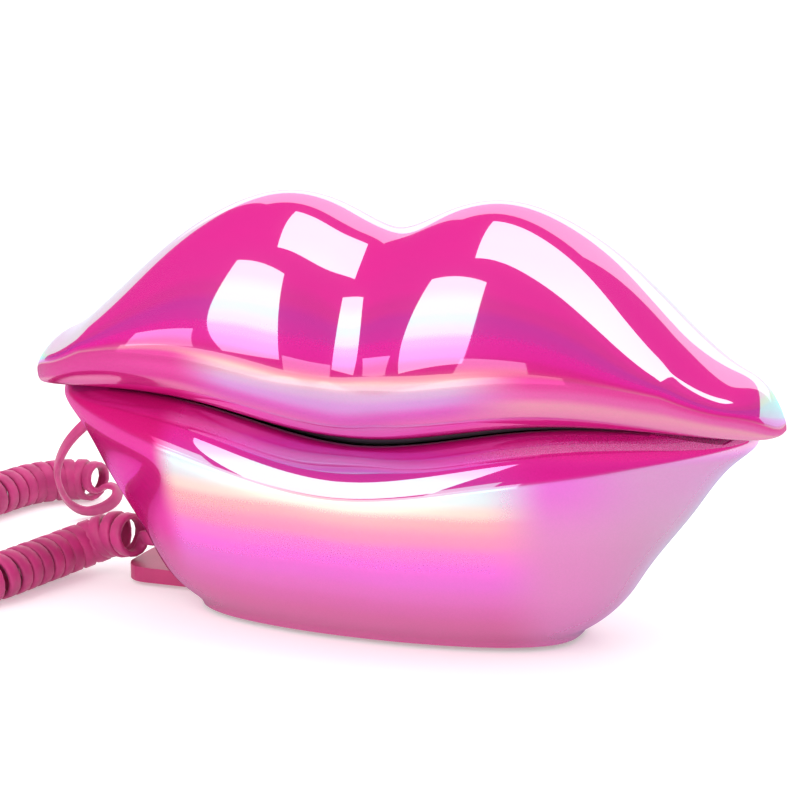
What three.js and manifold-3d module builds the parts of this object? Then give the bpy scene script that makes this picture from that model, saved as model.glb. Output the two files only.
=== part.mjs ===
// Desk telephone in the shape of a pair of lips. The upper lip is the handset and the lower
// lip is the base. Millimetres, +X to the right when facing the lips, -Y the front, +Z up.
// The origin is on the surface the telephone stands on, under the middle of the lips.
import * as THREE from "three";
import { mergeVertices } from "three/addons/utils/BufferGeometryUtils.js";
import { ParametricGeometry } from "three/addons/geometries/ParametricGeometry.js";
import Module from "manifold-3d";

const wasm = await Module();
wasm.setup();

// Fits
const CLEAR = 0.3;              // between pieces that touch or sit in each other
const OVERCUT = 2;              // how far a cutting shape runs past the face it opens

// Lips as a whole
const HANDSET_W = 215;          // corner to corner, upper lip
const BASE_W = 201;             // corner to corner, lower lip
const DEPTH = 88;               // fullest front to flat back
const SEAM_Z = 59.7;            // height of the mouth corners
const LIP_H = 57.4;             // crest of the upper lip above the corners
const CORNER_Y = 3.5;           // the mouth corners, behind the middle of the depth
const WALL = 2.6;               // both plated shells

const FRONT_Y = -DEPTH / 2;
const BACK_Y = DEPTH / 2;
const HALF_W = HANDSET_W / 2;

// Mouth line: height against distance from the middle, as a share of the half width
const SEAM_WAVE = [[0, -2.7], [0.424, 3.4], [1, 0]];
// Crest line of the upper lip: share of LIP_H against share of the half width
const CREST = [[0, 0.85], [0.15, 0.95], [0.3, 1], [0.45, 0.915], [0.6, 0.734], [0.742, 0.495],
  [0.813, 0.38], [0.884, 0.293], [0.955, 0.203], [1, 0.07]];

// Upper lip section
const UPPER_SETBACK = 2;        // fullest front, behind that of the lower lip
const UPPER_REACH = CORNER_Y - FRONT_Y - UPPER_SETBACK;
const UPPER_ROLL = 12;          // how far the rim tucks back under the fullest front
const UPPER_FULL_Z = 14;        // fullest front above the rim
const FRONT_POWER = 0.87;       // fullness of the front towards the corners
const RIDGE_SETBACK = 4;        // crest ahead of the corners
const GROOVE = 4.2;             // depth of the groove between the two lobes
const GROOVE_SPREAD = 0.125;    // its spread, as a share of the half width
const BACK_POWER = 1.2;         // fullness of the back towards the corners
const TIP_START = 0.3;          // share of the half thickness where the tips start to close
const TIP_MID = 0.35;           // height that the tips close to, as a share of the section
const HOLLOW_REACH = 0.91;      // share of the half width that is hollow

// How far each stretch of the section bows before it turns, as a share of the way
const BOW = { rollOut: 0.6, rollUp: 0.55, faceUp: 0.45, backOut: 0.55 };
const CORNER_ROLL = 0.3;        // share of UPPER_FULL_Z left at the corners
const FULL_LIMIT = 0.45;        // highest share of the section where the front is fullest

// Lower lip outline at heights from the bottom edge (0) to the rim (1)
const BASE_BOTTOM_Z = 1.2;
// shares of half the base's width
const LOWER_HALF_W = [[0, 0.547], [0.06, 0.587], [0.3, 0.713], [0.6, 0.841], [0.85, 0.95],
  [0.97, 1], [1, 0.992]];
// shares of half the depth
const LOWER_FRONT = [[0, 0.602], [0.08, 0.66], [0.35, 0.83], [0.72, 1], [0.9, 0.92], [1, 0.705]];
const LOWER_BACK = [[0, 0.59], [0.1, 0.636], [0.5, 0.818], [1, 0.955]];
// power that squares the front of the outline (below 1) or leaves it an ellipse (1)
const LOWER_SQUARE = [[0, 0.66], [0.3, 0.75], [1, 1]];
const LOWER_BACK_POWER = 0.4;   // how much slimmer the back gets towards the rim

// Black faceplate under the handset
const STRIP_H = 1.9;            // height of the skirt seen between the lips, at the middle
const STRIP_POWER = 1.5;        // how it thins towards the corners
const SKIRT_T = 2;
const SKIRT_DROP = 10;          // deeper than the skirt reaches below the mouth corners
const SKIRT_INSET = WALL + CLEAR;
const SKIRT_END = 0.9;          // share of the half width where the skirt ends
const SKIRT_TOP_Z = SEAM_Z + 5.6;
const FACE_Z = SEAM_Z + 2.3;    // flat underside that carries the keys
const FACE_T = 2.4;

// Keys: five across by three deep
const KEY_COLS = 5;
const KEY_ROWS = 3;
const KEY_PITCH = 13;
const KEY_X = 8.4;
const KEY_Y = 9.6;
const KEY_R = 1.6;
const KEY_PROUD = 1.4;
const KEY_TRAVEL = 1.5;
const KEY_FLANGE = 1;
const KEY_FLANGE_T = 0.8;
const KEYPAD_Y = (CORNER_Y - UPPER_REACH + UPPER_ROLL + BACK_Y) / 2;
const MAT_T = 1.2;
const BOARD_T = 1.6;
const HANDSET_BOARD_X = 72;
const HANDSET_BOARD_Y = 42;
const WEIGHT = [44, 14, 6];

// Receiver and microphone
const EAR_R = 14;
const EAR_H = 8;
const EAR_HOLE_R = 1.1;
const EAR_HOLE_PCD = 13;
const EAR_HOLES = 6;
const GASKET_W = 1.6;
const MIC_X = 60;
const MIC_R = 5;
const MIC_H = 6;
const MIC_HOLE_R = 0.9;

// Handset screws and their bosses
const HANDSET_SCREW_X = 43;
const BOSS_GAP = 5;             // boss to the skirt
const BOSS_R = 3.3;
const SCREW_R = 1.3;
const SCREW_HEAD_R = 2.6;
const SCREW_HEAD_T = 1.4;
const SCREW_L = 12;
const SCREW_SPARE = 1;          // hole beyond the screw's tip

// Base: deck, plate, foot
const DECK_Z = SEAM_Z - 6.5;    // top of the black deck in the cradle
const DECK_T = 2.4;
const PLATE_T = 2.4;
const FOOT_END_X = -84;         // left end of the side foot
const FOOT_IN_X = -44;
const FOOT_Y = [0, 26];
const FOOT_TOP_Z = 5.6;
const FOOT_R = 7;
const PAD_R = 5;
const PAD_SINK = 0.8;
const PAD_IN = 6;               // pads nearer the middle than the pillar rows
const PAD_X = 40;
const REAR_PAD_X = 33;
const SIDE_PAD = [-74, 13];
const PILLAR_R = 3.4;
const PILLAR_X = 26;
const PILLAR_EDGE = 5;          // from a pillar to the shell at the middle of the front or back
const BALLAST_X = 40;
const BALLAST_T = 5;
const BALLAST_GAP = 1.5;        // to the line jack
const BASE_BOARD_X = 76;
const BASE_BOARD_GAP = 1;       // to the pillars on both sides
const BASE_BOARD_Z = 14;
const POST_X = 33;
const POST_R = 2;
const RINGER_R = 10;
const RINGER_H = 8;

// Hook switch in the deck
const HOOK_KEY_GAP = 2.6;       // plunger to the keys
const HOOK_EAR_GAP = 2.8;       // plunger to the receiver
const HOOK_BODY = [8, 14, 11];
const PLUNGER = [4.4, 3.2];
const PLUNGER_IN = 6;           // length of the plunger inside its switch
const HOOK_FLOOR = 1;

// Slide switches in the back wall
const SWITCH_Z = 30;
const SWITCH_BODY = [18, 7, 8];
const SWITCH_TRAVEL = 5;
const SLOT_CUT = 8;             // how far a slot's cut reaches either side of the wall
const SWITCH_SETBACK = 4.5;     // body behind the inside of the wall
const KNOB = [3.6, 2.6];
const KNOB_PROUD = 2;
const RINGER_SWITCH_X = -20;
const MODE_SWITCH_X = 15;

// Cord sockets and plugs
const JACK = [12, 14, 10.5];    // width, depth, height of a socket block
const SOCKET = [7, 6];          // its opening
const SOCKET_DEPTH = 11;
const LINE_JACK_Z = 11.5;
const CORD_JACK_Y = 6;
const PLUG_IN = 8;              // length of the plug inside the socket
const PLUG_OUT = 7.5;
const PLUG_NOSE = 3;            // length of the nose
const NOSE_WALL = 0.9;          // round the cord in the nose
const NOSE_LAP = 1;             // nose into the plug's body
const JACK_PROUD = 0.6;         // base sockets out of the middle of the wall's outline
const HANDSET_JACK_SINK = 1.5;  // handset socket in from the rim

// Along the handset: keypad, plunger, receiver, cord socket
const KEYPAD_HALF = ((KEY_COLS - 1) * KEY_PITCH + KEY_X) / 2 + KEY_FLANGE;
const HOOK_X = -(KEYPAD_HALF + HOOK_KEY_GAP + PLUNGER[0] / 2);
const EAR_X = HOOK_X - PLUNGER[0] / 2 - HOOK_EAR_GAP - EAR_R;
const HANDSET_JACK_X = EAR_X - EAR_R - JACK[0] / 2;

// Curly cord
const COIL_D = 13.5;
const CORD_D = 3.6;
const CORD_Z = FOOT_TOP_Z + COIL_D / 2 + CLEAR;
const FLOOR_Z = COIL_D / 2 + 0.15;

const PINK = 0xd83a93;
const PLATED = 0xe0409f;
const BLACK = 0x141315;

// ---------------------------------------------------------------- helpers

// A smooth curve through pairs of place and value, flat at place 0 and mirrored about it.
function curveThrough(pairs) {
  const at = pairs.map((pair) => pair[0]);
  const value = pairs.map((pair) => pair[1]);
  const last = pairs.length - 1;
  const slope = value.map((_, i) => {
    if (i === 0) return 0;
    if (i === last) return (value[i] - value[i - 1]) / (at[i] - at[i - 1]);
    return (value[i + 1] - value[i - 1]) / (at[i + 1] - at[i - 1]);
  });
  return (place) => {
    const x = Math.min(Math.max(Math.abs(place), at[0]), at[last]);
    let i = 0;
    while (i < last - 1 && x > at[i + 1]) i += 1;
    const span = at[i + 1] - at[i];
    const s = (x - at[i]) / span;
    const s2 = s * s;
    const s3 = s2 * s;
    return (2 * s3 - 3 * s2 + 1) * value[i] + (s3 - 2 * s2 + s) * span * slope[i]
      + (3 * s2 - 2 * s3) * value[i + 1] + (s3 - s2) * span * slope[i + 1];
  };
}

const scaled = (curve, size) => (place) => size * curve(place);

const seamWave = curveThrough(SEAM_WAVE);
const crest = curveThrough(CREST);
const lowerHalfW = scaled(curveThrough(LOWER_HALF_W), BASE_W / 2);
const lowerFront = scaled(curveThrough(LOWER_FRONT), DEPTH / 2);
const lowerBack = scaled(curveThrough(LOWER_BACK), DEPTH / 2);
const lowerSquare = curveThrough(LOWER_SQUARE);

const seamZ = (x) => SEAM_Z + seamWave(x / HALF_W);
const stripH = (x) => STRIP_H * Math.max(0, 1 - Math.abs(x / HALF_W) ** STRIP_POWER);
const rimZ = (x) => seamZ(x) - stripH(x) - CLEAR;

// A three.js geometry as a solid that can be joined and cut.
function solid(geometry) {
  const bare = geometry.clone();
  bare.deleteAttribute("normal");
  bare.deleteAttribute("uv");
  const merged = mergeVertices(bare, 1e-4);
  const index = merged.index.array;
  const kept = [];
  for (let i = 0; i < index.length; i += 3) {
    const [a, b, c] = [index[i], index[i + 1], index[i + 2]];
    if (a !== b && b !== c && c !== a) kept.push(a, b, c);
  }
  const points = new Float32Array(merged.attributes.position.array);
  const build = (triangles) => new wasm.Manifold(new wasm.Mesh({
    numProp: 3, vertProperties: points, triVerts: new Uint32Array(triangles),
  }));
  const made = build(kept);
  if (made.volume() > 0) return made;
  return build(kept.reverse());
}

function geometryOf(shape) {
  const mesh = shape.getMesh();
  const geometry = new THREE.BufferGeometry();
  const points = new Float32Array(mesh.vertProperties);
  geometry.setAttribute("position", new THREE.BufferAttribute(points, 3));
  geometry.setIndex(new THREE.BufferAttribute(new Uint32Array(mesh.triVerts), 1));
  return geometry;
}

const group = new THREE.Group();

function add(name, shape, color, roughness = 0.5, metalness = 0) {
  const material = new THREE.MeshStandardMaterial({ color, roughness, metalness });
  const mesh = new THREE.Mesh(geometryOf(shape), material);
  mesh.name = name;
  group.add(mesh);
}

// A box from its low corner to its high corner.
function box(low, high) {
  const size = high.map((value, i) => value - low[i]);
  const geometry = new THREE.BoxGeometry(...size);
  geometry.translate(...low.map((value, i) => value + size[i] / 2));
  return solid(geometry);
}

// A box centred on x and y, standing from z0 to z1.
function block(x, y, sizeX, sizeY, z0, z1) {
  return box([x - sizeX / 2, y - sizeY / 2, z0], [x + sizeX / 2, y + sizeY / 2, z1]);
}

// An upright cylinder.
function drum(x, y, radius, z0, z1, sides = 16) {
  const geometry = new THREE.CylinderGeometry(radius, radius, z1 - z0, sides);
  geometry.rotateX(Math.PI / 2);
  geometry.translate(x, y, (z0 + z1) / 2);
  return solid(geometry);
}

// An upright plate with round corners.
function pad(x, y, sizeX, sizeY, radius, z0, z1, steps = 3) {
  const outline = new THREE.Shape();
  const [a, b] = [sizeX / 2 - radius, sizeY / 2 - radius];
  outline.absarc(a, b, radius, 0, Math.PI / 2);
  outline.absarc(-a, b, radius, Math.PI / 2, Math.PI);
  outline.absarc(-a, -b, radius, Math.PI, 1.5 * Math.PI);
  outline.absarc(a, -b, radius, 1.5 * Math.PI, 2 * Math.PI);
  const settings = { depth: z1 - z0, bevelEnabled: false, curveSegments: steps };
  const geometry = new THREE.ExtrudeGeometry(outline, settings);
  geometry.translate(x, y, z0);
  return solid(geometry);
}

// A tube of one diameter along a smooth curve through points.
function tube(points, diameter, sides, steps) {
  const path = new THREE.CatmullRomCurve3(points.map((point) => new THREE.Vector3(...point)));
  const section = new THREE.Shape();
  for (let i = 0; i < sides; i += 1) {
    const angle = (2 * Math.PI * i) / sides;
    const corner = [Math.cos(angle) * diameter / 2, Math.sin(angle) * diameter / 2];
    if (i === 0) section.moveTo(...corner);
    else section.lineTo(...corner);
  }
  return solid(new THREE.ExtrudeGeometry(section, { steps, extrudePath: path }));
}

// A closed surface from a row of outlines, with each end closed to its middle. outlineAt gives
// the point of outline number row at share v of the way round.
function lofted(rows, around, outlineAt) {
  const middle = (row) => {
    const sum = new THREE.Vector3();
    for (let i = 0; i < around; i += 1) sum.add(outlineAt(row, i / around));
    return sum.divideScalar(around);
  };
  const ends = [middle(0), middle(rows - 1)];
  const surface = (v, u, target) => {
    const row = Math.round(u * (rows + 1)) - 1;
    if (row < 0) target.copy(ends[0]);
    else if (row >= rows) target.copy(ends[1]);
    else target.copy(outlineAt(row, Math.round(v * around) % around / around));
  };
  return solid(new ParametricGeometry(surface, around, rows + 1));
}

function bezier(from, bend1, bend2, to, s) {
  const r = 1 - s;
  return r * r * r * from + 3 * r * r * s * bend1 + 3 * r * s * s * bend2 + s * s * s * to;
}

// ---------------------------------------------------------------- the two lips

// The y of the upper lip's rim at x, front and back.
function upperRim(x) {
  const t = x / HALF_W;
  const c = Math.sqrt(Math.max(0, 1 - t * t));
  return {
    front: CORNER_Y - UPPER_REACH * c ** FRONT_POWER + UPPER_ROLL * c,
    back: CORNER_Y + (BACK_Y - CORNER_Y) * c ** BACK_POWER,
  };
}

// Shares of the way round the upper lip's section, and how finely it is cut up.
const [FULL_V, CREST_V, BACK_V] = [0.2, 0.55, 0.85];
const SECTION_POINTS = 20;
const LIP_ROWS = 37;
const HOLLOW_ROWS = 29;

// One point of that section at t, a share of the half width: rim, fullest front, crest, back,
// and across to the rim again. inset moves the section inwards, and below carries its open
// side straight down past the rim.
function upperPoint(t, v, inset, below) {
  const c = Math.sqrt(Math.max(0, 1 - t * t));
  const x = t * HALF_W;
  const share = Math.min(c / TIP_START, 1);
  const closing = Math.sqrt(1 - (1 - share) ** 2);
  const rim = upperRim(x);
  const lowZ = seamZ(x);
  const crestZ = SEAM_Z + LIP_H * crest(t) - inset;
  const groove = GROOVE * Math.exp(-((t / GROOVE_SPREAD) ** 2));
  const fullY = CORNER_Y - UPPER_REACH * c ** FRONT_POWER + groove + inset;
  const rimY = rim.front + inset;
  const ridgeY = CORNER_Y - RIDGE_SETBACK * c;
  const backY = rim.back - inset;
  const roll = UPPER_FULL_Z * (CORNER_ROLL + (1 - CORNER_ROLL) * c);
  const fullZ = lowZ + Math.min(roll, FULL_LIMIT * (crestZ - lowZ));
  const mid = lowZ + TIP_MID * (crestZ - lowZ);
  const close = (z) => mid + (z - mid) * closing;
  const [z0, z1, z2] = [close(lowZ), close(fullZ), close(crestZ)];
  if (v < FULL_V) {
    const s = v / FULL_V;
    return new THREE.Vector3(x, bezier(rimY, rimY + (fullY - rimY) * BOW.rollOut, fullY,
      fullY, s), bezier(z0, z0, z1 - (z1 - z0) * BOW.rollUp, z1, s));
  }
  if (v < CREST_V) {
    const s = (v - FULL_V) / (CREST_V - FULL_V);
    return new THREE.Vector3(x, bezier(fullY, fullY, (ridgeY + fullY) / 2, ridgeY, s),
      bezier(z1, z1 + (z2 - z1) * BOW.faceUp, z2, z2, s));
  }
  if (v < BACK_V) {
    const s = (v - CREST_V) / (BACK_V - CREST_V);
    return new THREE.Vector3(x, bezier(ridgeY, ridgeY + (backY - ridgeY) * BOW.backOut, backY,
      backY, s), bezier(z2, z2, (z2 + z0) / 2, z0, s));
  }
  const leg = Math.round((v - BACK_V) * SECTION_POINTS);
  return new THREE.Vector3(x, leg < 2 ? backY : rimY, leg === 0 ? z0 : z0 - below);
}

function upperLip(rows, reach, inset, below) {
  const outline = (row, v) => {
    const angle = (row / (rows - 1) * 2 - 1) * Math.asin(reach);
    return upperPoint(Math.sin(angle), v, inset, below);
  };
  return lofted(rows, SECTION_POINTS, outline);
}

// One point of the lower lip's outline at share v of its height and angle a round it.
function lowerPoint(v, a, inset, lift) {
  const [cos, sin] = [Math.cos(a), Math.sin(a)];
  const x = (lowerHalfW(v) - inset) * cos;
  const depth = Math.abs(sin);
  const cornerY = CORNER_Y * v;
  const front = cornerY - (lowerFront(v) - inset + cornerY) * depth ** lowerSquare(v);
  const back = cornerY + (lowerBack(v) - inset - cornerY) * depth ** (1 + LOWER_BACK_POWER * v);
  const z = BASE_BOTTOM_Z + v * (rimZ(x) - BASE_BOTTOM_Z) + lift;
  return new THREE.Vector3(x, sin < 0 ? front : back, z);
}

function lowerLip(rows, around, inset, past) {
  const outline = (row, share) => {
    const v = Math.min(Math.max((row - 1) / (rows - 3), 0), 1);
    const lift = row === 0 ? -past : row === rows - 1 ? past : 0;
    return lowerPoint(v, 2 * Math.PI * share, inset, lift);
  };
  return lofted(rows, around, outline);
}

// A slab inside the handset's rim, with its underside at lowAt(x) and its top at highAt(x).
const SLAB_ROWS = 33;

function rimSlab(inset, reach, lowAt, highAt) {
  const outline = (row, v) => {
    const x = (row / (SLAB_ROWS - 1) * 2 - 1) * reach;
    const rim = upperRim(x);
    const corner = Math.floor(v * 4 + 0.5) % 4;
    const y = corner === 0 || corner === 3 ? rim.front + inset : rim.back - inset;
    return new THREE.Vector3(x, y, corner < 2 ? lowAt(x) : highAt(x));
  };
  return lofted(SLAB_ROWS, 4, outline);
}

// The handset's skirt as a full slab, grown by a clearance.
const flat = (z) => () => z;
const SKIRT_REACH = SKIRT_END * HALF_W;

function skirtSlab(grow) {
  const low = (x) => seamZ(x) - stripH(x) - grow;
  return rimSlab(SKIRT_INSET - grow, SKIRT_REACH + grow, low, flat(SKIRT_TOP_Z));
}

// ---------------------------------------------------------------- base

const plateTop = BASE_BOTTOM_Z + PLATE_T;
const pillarIn = WALL + CLEAR + PILLAR_R + PILLAR_EDGE;
const frontRow = pillarIn - lowerFront(0);
const backRow = lowerBack(0) - pillarIn;
const baseScrews = [[-PILLAR_X, frontRow], [PILLAR_X, frontRow], [-PILLAR_X, backRow],
  [PILLAR_X, backRow]];
const pads = [[-PAD_X, frontRow + PAD_IN], [PAD_X, frontRow + PAD_IN],
  [REAR_PAD_X, backRow - PAD_IN], SIDE_PAD];
const boardDepth = backRow - frontRow - 2 * (PILLAR_R + BASE_BOARD_GAP);
const boardY = (frontRow + backRow) / 2;
const [LOWER_ROWS, LOWER_AROUND] = [17, 48];
const [INNER_ROWS, INNER_AROUND] = [15, 40];
const insideBase = () => lowerLip(INNER_ROWS, INNER_AROUND, WALL + CLEAR, OVERCUT);

// A socket block whose outer face is at y, facing +Y, and the room for it in a shell.
function jackBlock(x, y, z, grow = 0, past = 0) {
  const [w, d, h] = JACK;
  return box([x - w / 2 - grow, y - d - grow, z - h / 2 - grow],
    [x + w / 2 + grow, y + past, z + h / 2 + grow]);
}

const jackRoom = (x, y, z) => jackBlock(x, y, z, CLEAR, PLUG_OUT);

// A socket block that opens towards +Y at its outer face, before it is turned.
function socketed(x, y, z) {
  const [w, h] = SOCKET;
  const hole = box([x - w / 2, y - SOCKET_DEPTH, z - h / 2], [x + w / 2, y + OVERCUT, z + h / 2]);
  return jackBlock(x, y, z).subtract(hole);
}

// A plug seated in such a socket, with a nose that holds the cord.
function plugIn(x, y, z) {
  const [w, h] = SOCKET;
  const nose = CORD_D / 2 + NOSE_WALL;
  const inside = box([x - w / 2 + CLEAR, y - PLUG_IN, z - h / 2 + CLEAR],
    [x + w / 2 - CLEAR, y + PLUG_OUT - PLUG_NOSE, z + h / 2 - CLEAR]);
  const end = box([x - nose, y + PLUG_OUT - PLUG_NOSE - NOSE_LAP, z - nose],
    [x + nose, y + PLUG_OUT, z + nose]);
  return inside.add(end);
}

const quarterTurn = (shape, x, y) => shape.translate([-x, -y, 0]).rotate([0, 0, 90])
  .translate([x, y, 0]);

const lineJackY = lowerBack((LINE_JACK_Z - BASE_BOTTOM_Z) / (SEAM_Z - BASE_BOTTOM_Z)) + JACK_PROUD;
const cordJackX = -lowerHalfW((CORD_Z - BASE_BOTTOM_Z) / (SEAM_Z - BASE_BOTTOM_Z)) + JACK_PROUD;
const switchY = lowerBack((SWITCH_Z - BASE_BOTTOM_Z) / (SEAM_Z - BASE_BOTTOM_Z));
const switchFace = switchY - WALL - SWITCH_SETBACK;

function footSlab(grow) {
  const [y0, y1] = FOOT_Y;
  const length = FOOT_IN_X - FOOT_END_X;
  return pad(FOOT_END_X + length / 2, (y0 + y1) / 2, length + 2 * grow, y1 - y0 + 2 * grow,
    FOOT_R + grow, BASE_BOTTOM_Z - grow * OVERCUT / CLEAR, FOOT_TOP_Z + grow);
}

function lowerShell() {
  const outer = lowerLip(LOWER_ROWS, LOWER_AROUND, 0, 0);
  let shell = outer.subtract(lowerLip(INNER_ROWS, INNER_AROUND, WALL, OVERCUT * 2));
  shell = shell.subtract(skirtSlab(CLEAR));
  shell = shell.subtract(footSlab(CLEAR));
  shell = shell.subtract(jackRoom(0, lineJackY, LINE_JACK_Z));
  shell = shell.subtract(quarterTurn(jackRoom(cordJackX, CORD_JACK_Y, CORD_Z), cordJackX,
    CORD_JACK_Y));
  for (const x of [RINGER_SWITCH_X, MODE_SWITCH_X]) {
    const slot = box(
      [x - KNOB[0] / 2 - CLEAR, switchY - SLOT_CUT, SWITCH_Z - KNOB[1] / 2 - CLEAR],
      [x + KNOB[0] / 2 + SWITCH_TRAVEL + CLEAR, switchY + SLOT_CUT, SWITCH_Z + KNOB[1] / 2 + CLEAR]);
    shell = shell.subtract(slot);
  }
  return shell;
}

function cradleDeck() {
  const cut = box([-HALF_W, FRONT_Y, DECK_Z - DECK_T], [HALF_W, BACK_Y, DECK_Z]);
  let deck = insideBase().intersect(cut);
  const hole = [PLUNGER[0] + 2 * CLEAR, PLUNGER[1] + 2 * CLEAR];
  for (const [x, y] of baseScrews) {
    deck = deck.add(drum(x, y, PILLAR_R, plateTop + CLEAR, DECK_Z - DECK_T / 2));
    deck = deck.subtract(drum(x, y, SCREW_R + CLEAR, 0, plateTop + SCREW_L, 12));
  }
  return deck.subtract(block(HOOK_X, KEYPAD_Y, ...hole, DECK_Z - 2 * DECK_T, DECK_Z + OVERCUT));
}

function basePlate() {
  const cut = box([-HALF_W, FRONT_Y, BASE_BOTTOM_Z], [HALF_W, BACK_Y, plateTop]);
  let plate = insideBase().intersect(cut).add(footSlab(0));
  for (const [x, y] of pads) {
    plate = plate.subtract(drum(x, y, PAD_R + CLEAR, 0, BASE_BOTTOM_Z + PAD_SINK + CLEAR, 20));
  }
  for (const [x, y] of baseScrews) {
    plate = plate.subtract(drum(x, y, SCREW_R + CLEAR, 0, plateTop + OVERCUT, 12));
    plate = plate.subtract(drum(x, y, SCREW_HEAD_R + CLEAR, 0, BASE_BOTTOM_Z + SCREW_HEAD_T, 12));
  }
  for (const x of [-POST_X, POST_X]) {
    plate = plate.add(drum(x, boardY, POST_R, BASE_BOTTOM_Z + PLATE_T / 2, BASE_BOARD_Z - CLEAR, 10));
  }
  return plate;
}

// A screw from below: its head at headZ, its shank up from there.
function screw(x, y, headZ, length) {
  const head = drum(x, y, SCREW_HEAD_R, headZ, headZ + SCREW_HEAD_T - CLEAR, 12);
  return head.add(drum(x, y, SCREW_R, headZ, headZ + length, 12));
}

const hookTop = DECK_Z - DECK_T - CLEAR;
const hookBottom = hookTop - HOOK_BODY[2];

function hookBody() {
  const body = block(HOOK_X, KEYPAD_Y, HOOK_BODY[0], HOOK_BODY[1], hookBottom, hookTop);
  const well = [PLUNGER[0] + 2 * CLEAR, PLUNGER[1] + 2 * CLEAR];
  return body.subtract(block(HOOK_X, KEYPAD_Y, ...well, hookBottom + HOOK_FLOOR, hookTop + OVERCUT));
}

function switchBody(x) {
  const [w, d, h] = SWITCH_BODY;
  const face = switchFace;
  const body = box([x + SWITCH_TRAVEL / 2 - w / 2, face - d, SWITCH_Z - h / 2],
    [x + SWITCH_TRAVEL / 2 + w / 2, face, SWITCH_Z + h / 2]);
  const track = box(
    [x - KNOB[0] / 2 - CLEAR, face - d / 2 - CLEAR, SWITCH_Z - KNOB[1] / 2 - CLEAR],
    [x + KNOB[0] / 2 + SWITCH_TRAVEL + CLEAR, face + OVERCUT, SWITCH_Z + KNOB[1] / 2 + CLEAR]);
  return body.subtract(track);
}

function switchKnob(x) {
  const [w, h] = KNOB;
  return box([x - w / 2, switchFace - SWITCH_BODY[1] / 2, SWITCH_Z - h / 2],
    [x + w / 2, switchY + KNOB_PROUD, SWITCH_Z + h / 2]);
}

add("lower_lip_shell", lowerShell(), PLATED, 0.08, 0.9);
add("cradle_deck", cradleDeck(), BLACK, 0.45);
add("base_plate", basePlate(), PINK, 0.5);
pads.forEach(([x, y], i) => {
  add(`foot_pad_${i + 1}`, drum(x, y, PAD_R, 0, BASE_BOTTOM_Z + PAD_SINK, 20), 0x2a2a2c, 0.9);
});
baseScrews.forEach(([x, y], i) => {
  add(`base_screw_${i + 1}`, screw(x, y, BASE_BOTTOM_Z, SCREW_L), 0xb9bcc0, 0.35, 1);
});
const ballastBack = lineJackY - JACK[1] - BALLAST_GAP;
const ballastZ = plateTop + CLEAR;
add("ballast_plate", box([-BALLAST_X / 2, frontRow, ballastZ],
  [BALLAST_X / 2, ballastBack, ballastZ + BALLAST_T]), 0x8d9196, 0.5, 1);
add("base_circuit_board", block(0, boardY, BASE_BOARD_X, boardDepth, BASE_BOARD_Z,
  BASE_BOARD_Z + BOARD_T), 0x1f6b3a, 0.5);
add("ringer", drum(0, boardY, RINGER_R, BASE_BOARD_Z + BOARD_T + CLEAR,
  BASE_BOARD_Z + BOARD_T + CLEAR + RINGER_H, 20), 0x1b1b1d, 0.5);
add("line_jack", socketed(0, lineJackY, LINE_JACK_Z), 0x26262a, 0.5);
add("base_cord_jack", quarterTurn(socketed(cordJackX, CORD_JACK_Y, CORD_Z), cordJackX,
  CORD_JACK_Y), 0x26262a, 0.5);
add("hook_switch_body", hookBody(), 0x2a2a2e, 0.5);
add("hook_plunger", block(HOOK_X, KEYPAD_Y, ...PLUNGER, hookTop - PLUNGER_IN, FACE_Z - CLEAR),
  0xe8e6e0, 0.4);
add("hook_spring", drum(HOOK_X, KEYPAD_Y, PLUNGER[1] / 2 - CLEAR, hookBottom + HOOK_FLOOR + CLEAR,
  hookTop - PLUNGER_IN - CLEAR, 8), 0xb9bcc0, 0.3, 1);
for (const [name, x] of [["ringer", RINGER_SWITCH_X], ["dial_mode", MODE_SWITCH_X]]) {
  add(`${name}_switch_body`, switchBody(x), 0x2a2a2e, 0.5);
  add(`${name}_switch_knob`, switchKnob(x), 0x111113, 0.5);
}

// ---------------------------------------------------------------- handset

const keyTop = FACE_Z + FACE_T + CLEAR + KEY_FLANGE_T;
const matZ = keyTop + KEY_TRAVEL + CLEAR;
const boardZ = matZ + MAT_T + CLEAR;
const handsetJackY = upperRim(HANDSET_JACK_X).back - HANDSET_JACK_SINK;
const handsetJackZ = SKIRT_TOP_Z + CLEAR + JACK[2] / 2;

const keyCentres = [];
for (let row = 0; row < KEY_ROWS; row += 1) {
  for (let col = 0; col < KEY_COLS; col += 1) {
    keyCentres.push([(col - (KEY_COLS - 1) / 2) * KEY_PITCH,
      KEYPAD_Y + ((KEY_ROWS - 1) / 2 - row) * KEY_PITCH]);
  }
}

const screwIn = SKIRT_INSET + SKIRT_T + BOSS_R + BOSS_GAP;
const screwRim = upperRim(HANDSET_SCREW_X);
const handsetScrews = [];
for (const y of [screwRim.front + screwIn, screwRim.back - screwIn]) {
  handsetScrews.push([-HANDSET_SCREW_X, y], [HANDSET_SCREW_X, y]);
}

function upperShell() {
  const outer = upperLip(LIP_ROWS, 1, 0, 0);
  let shell = outer.subtract(upperLip(HOLLOW_ROWS, HOLLOW_REACH, WALL, OVERCUT));
  for (const [x, y] of handsetScrews) {
    const boss = drum(x, y, BOSS_R, FACE_Z + FACE_T + CLEAR, SEAM_Z + LIP_H, 12);
    shell = shell.add(boss.intersect(outer));
    shell = shell.subtract(drum(x, y, SCREW_R + CLEAR, FACE_Z, FACE_Z + SCREW_L + SCREW_SPARE, 12));
  }
  return shell.subtract(jackRoom(HANDSET_JACK_X, handsetJackY, handsetJackZ));
}

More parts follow.
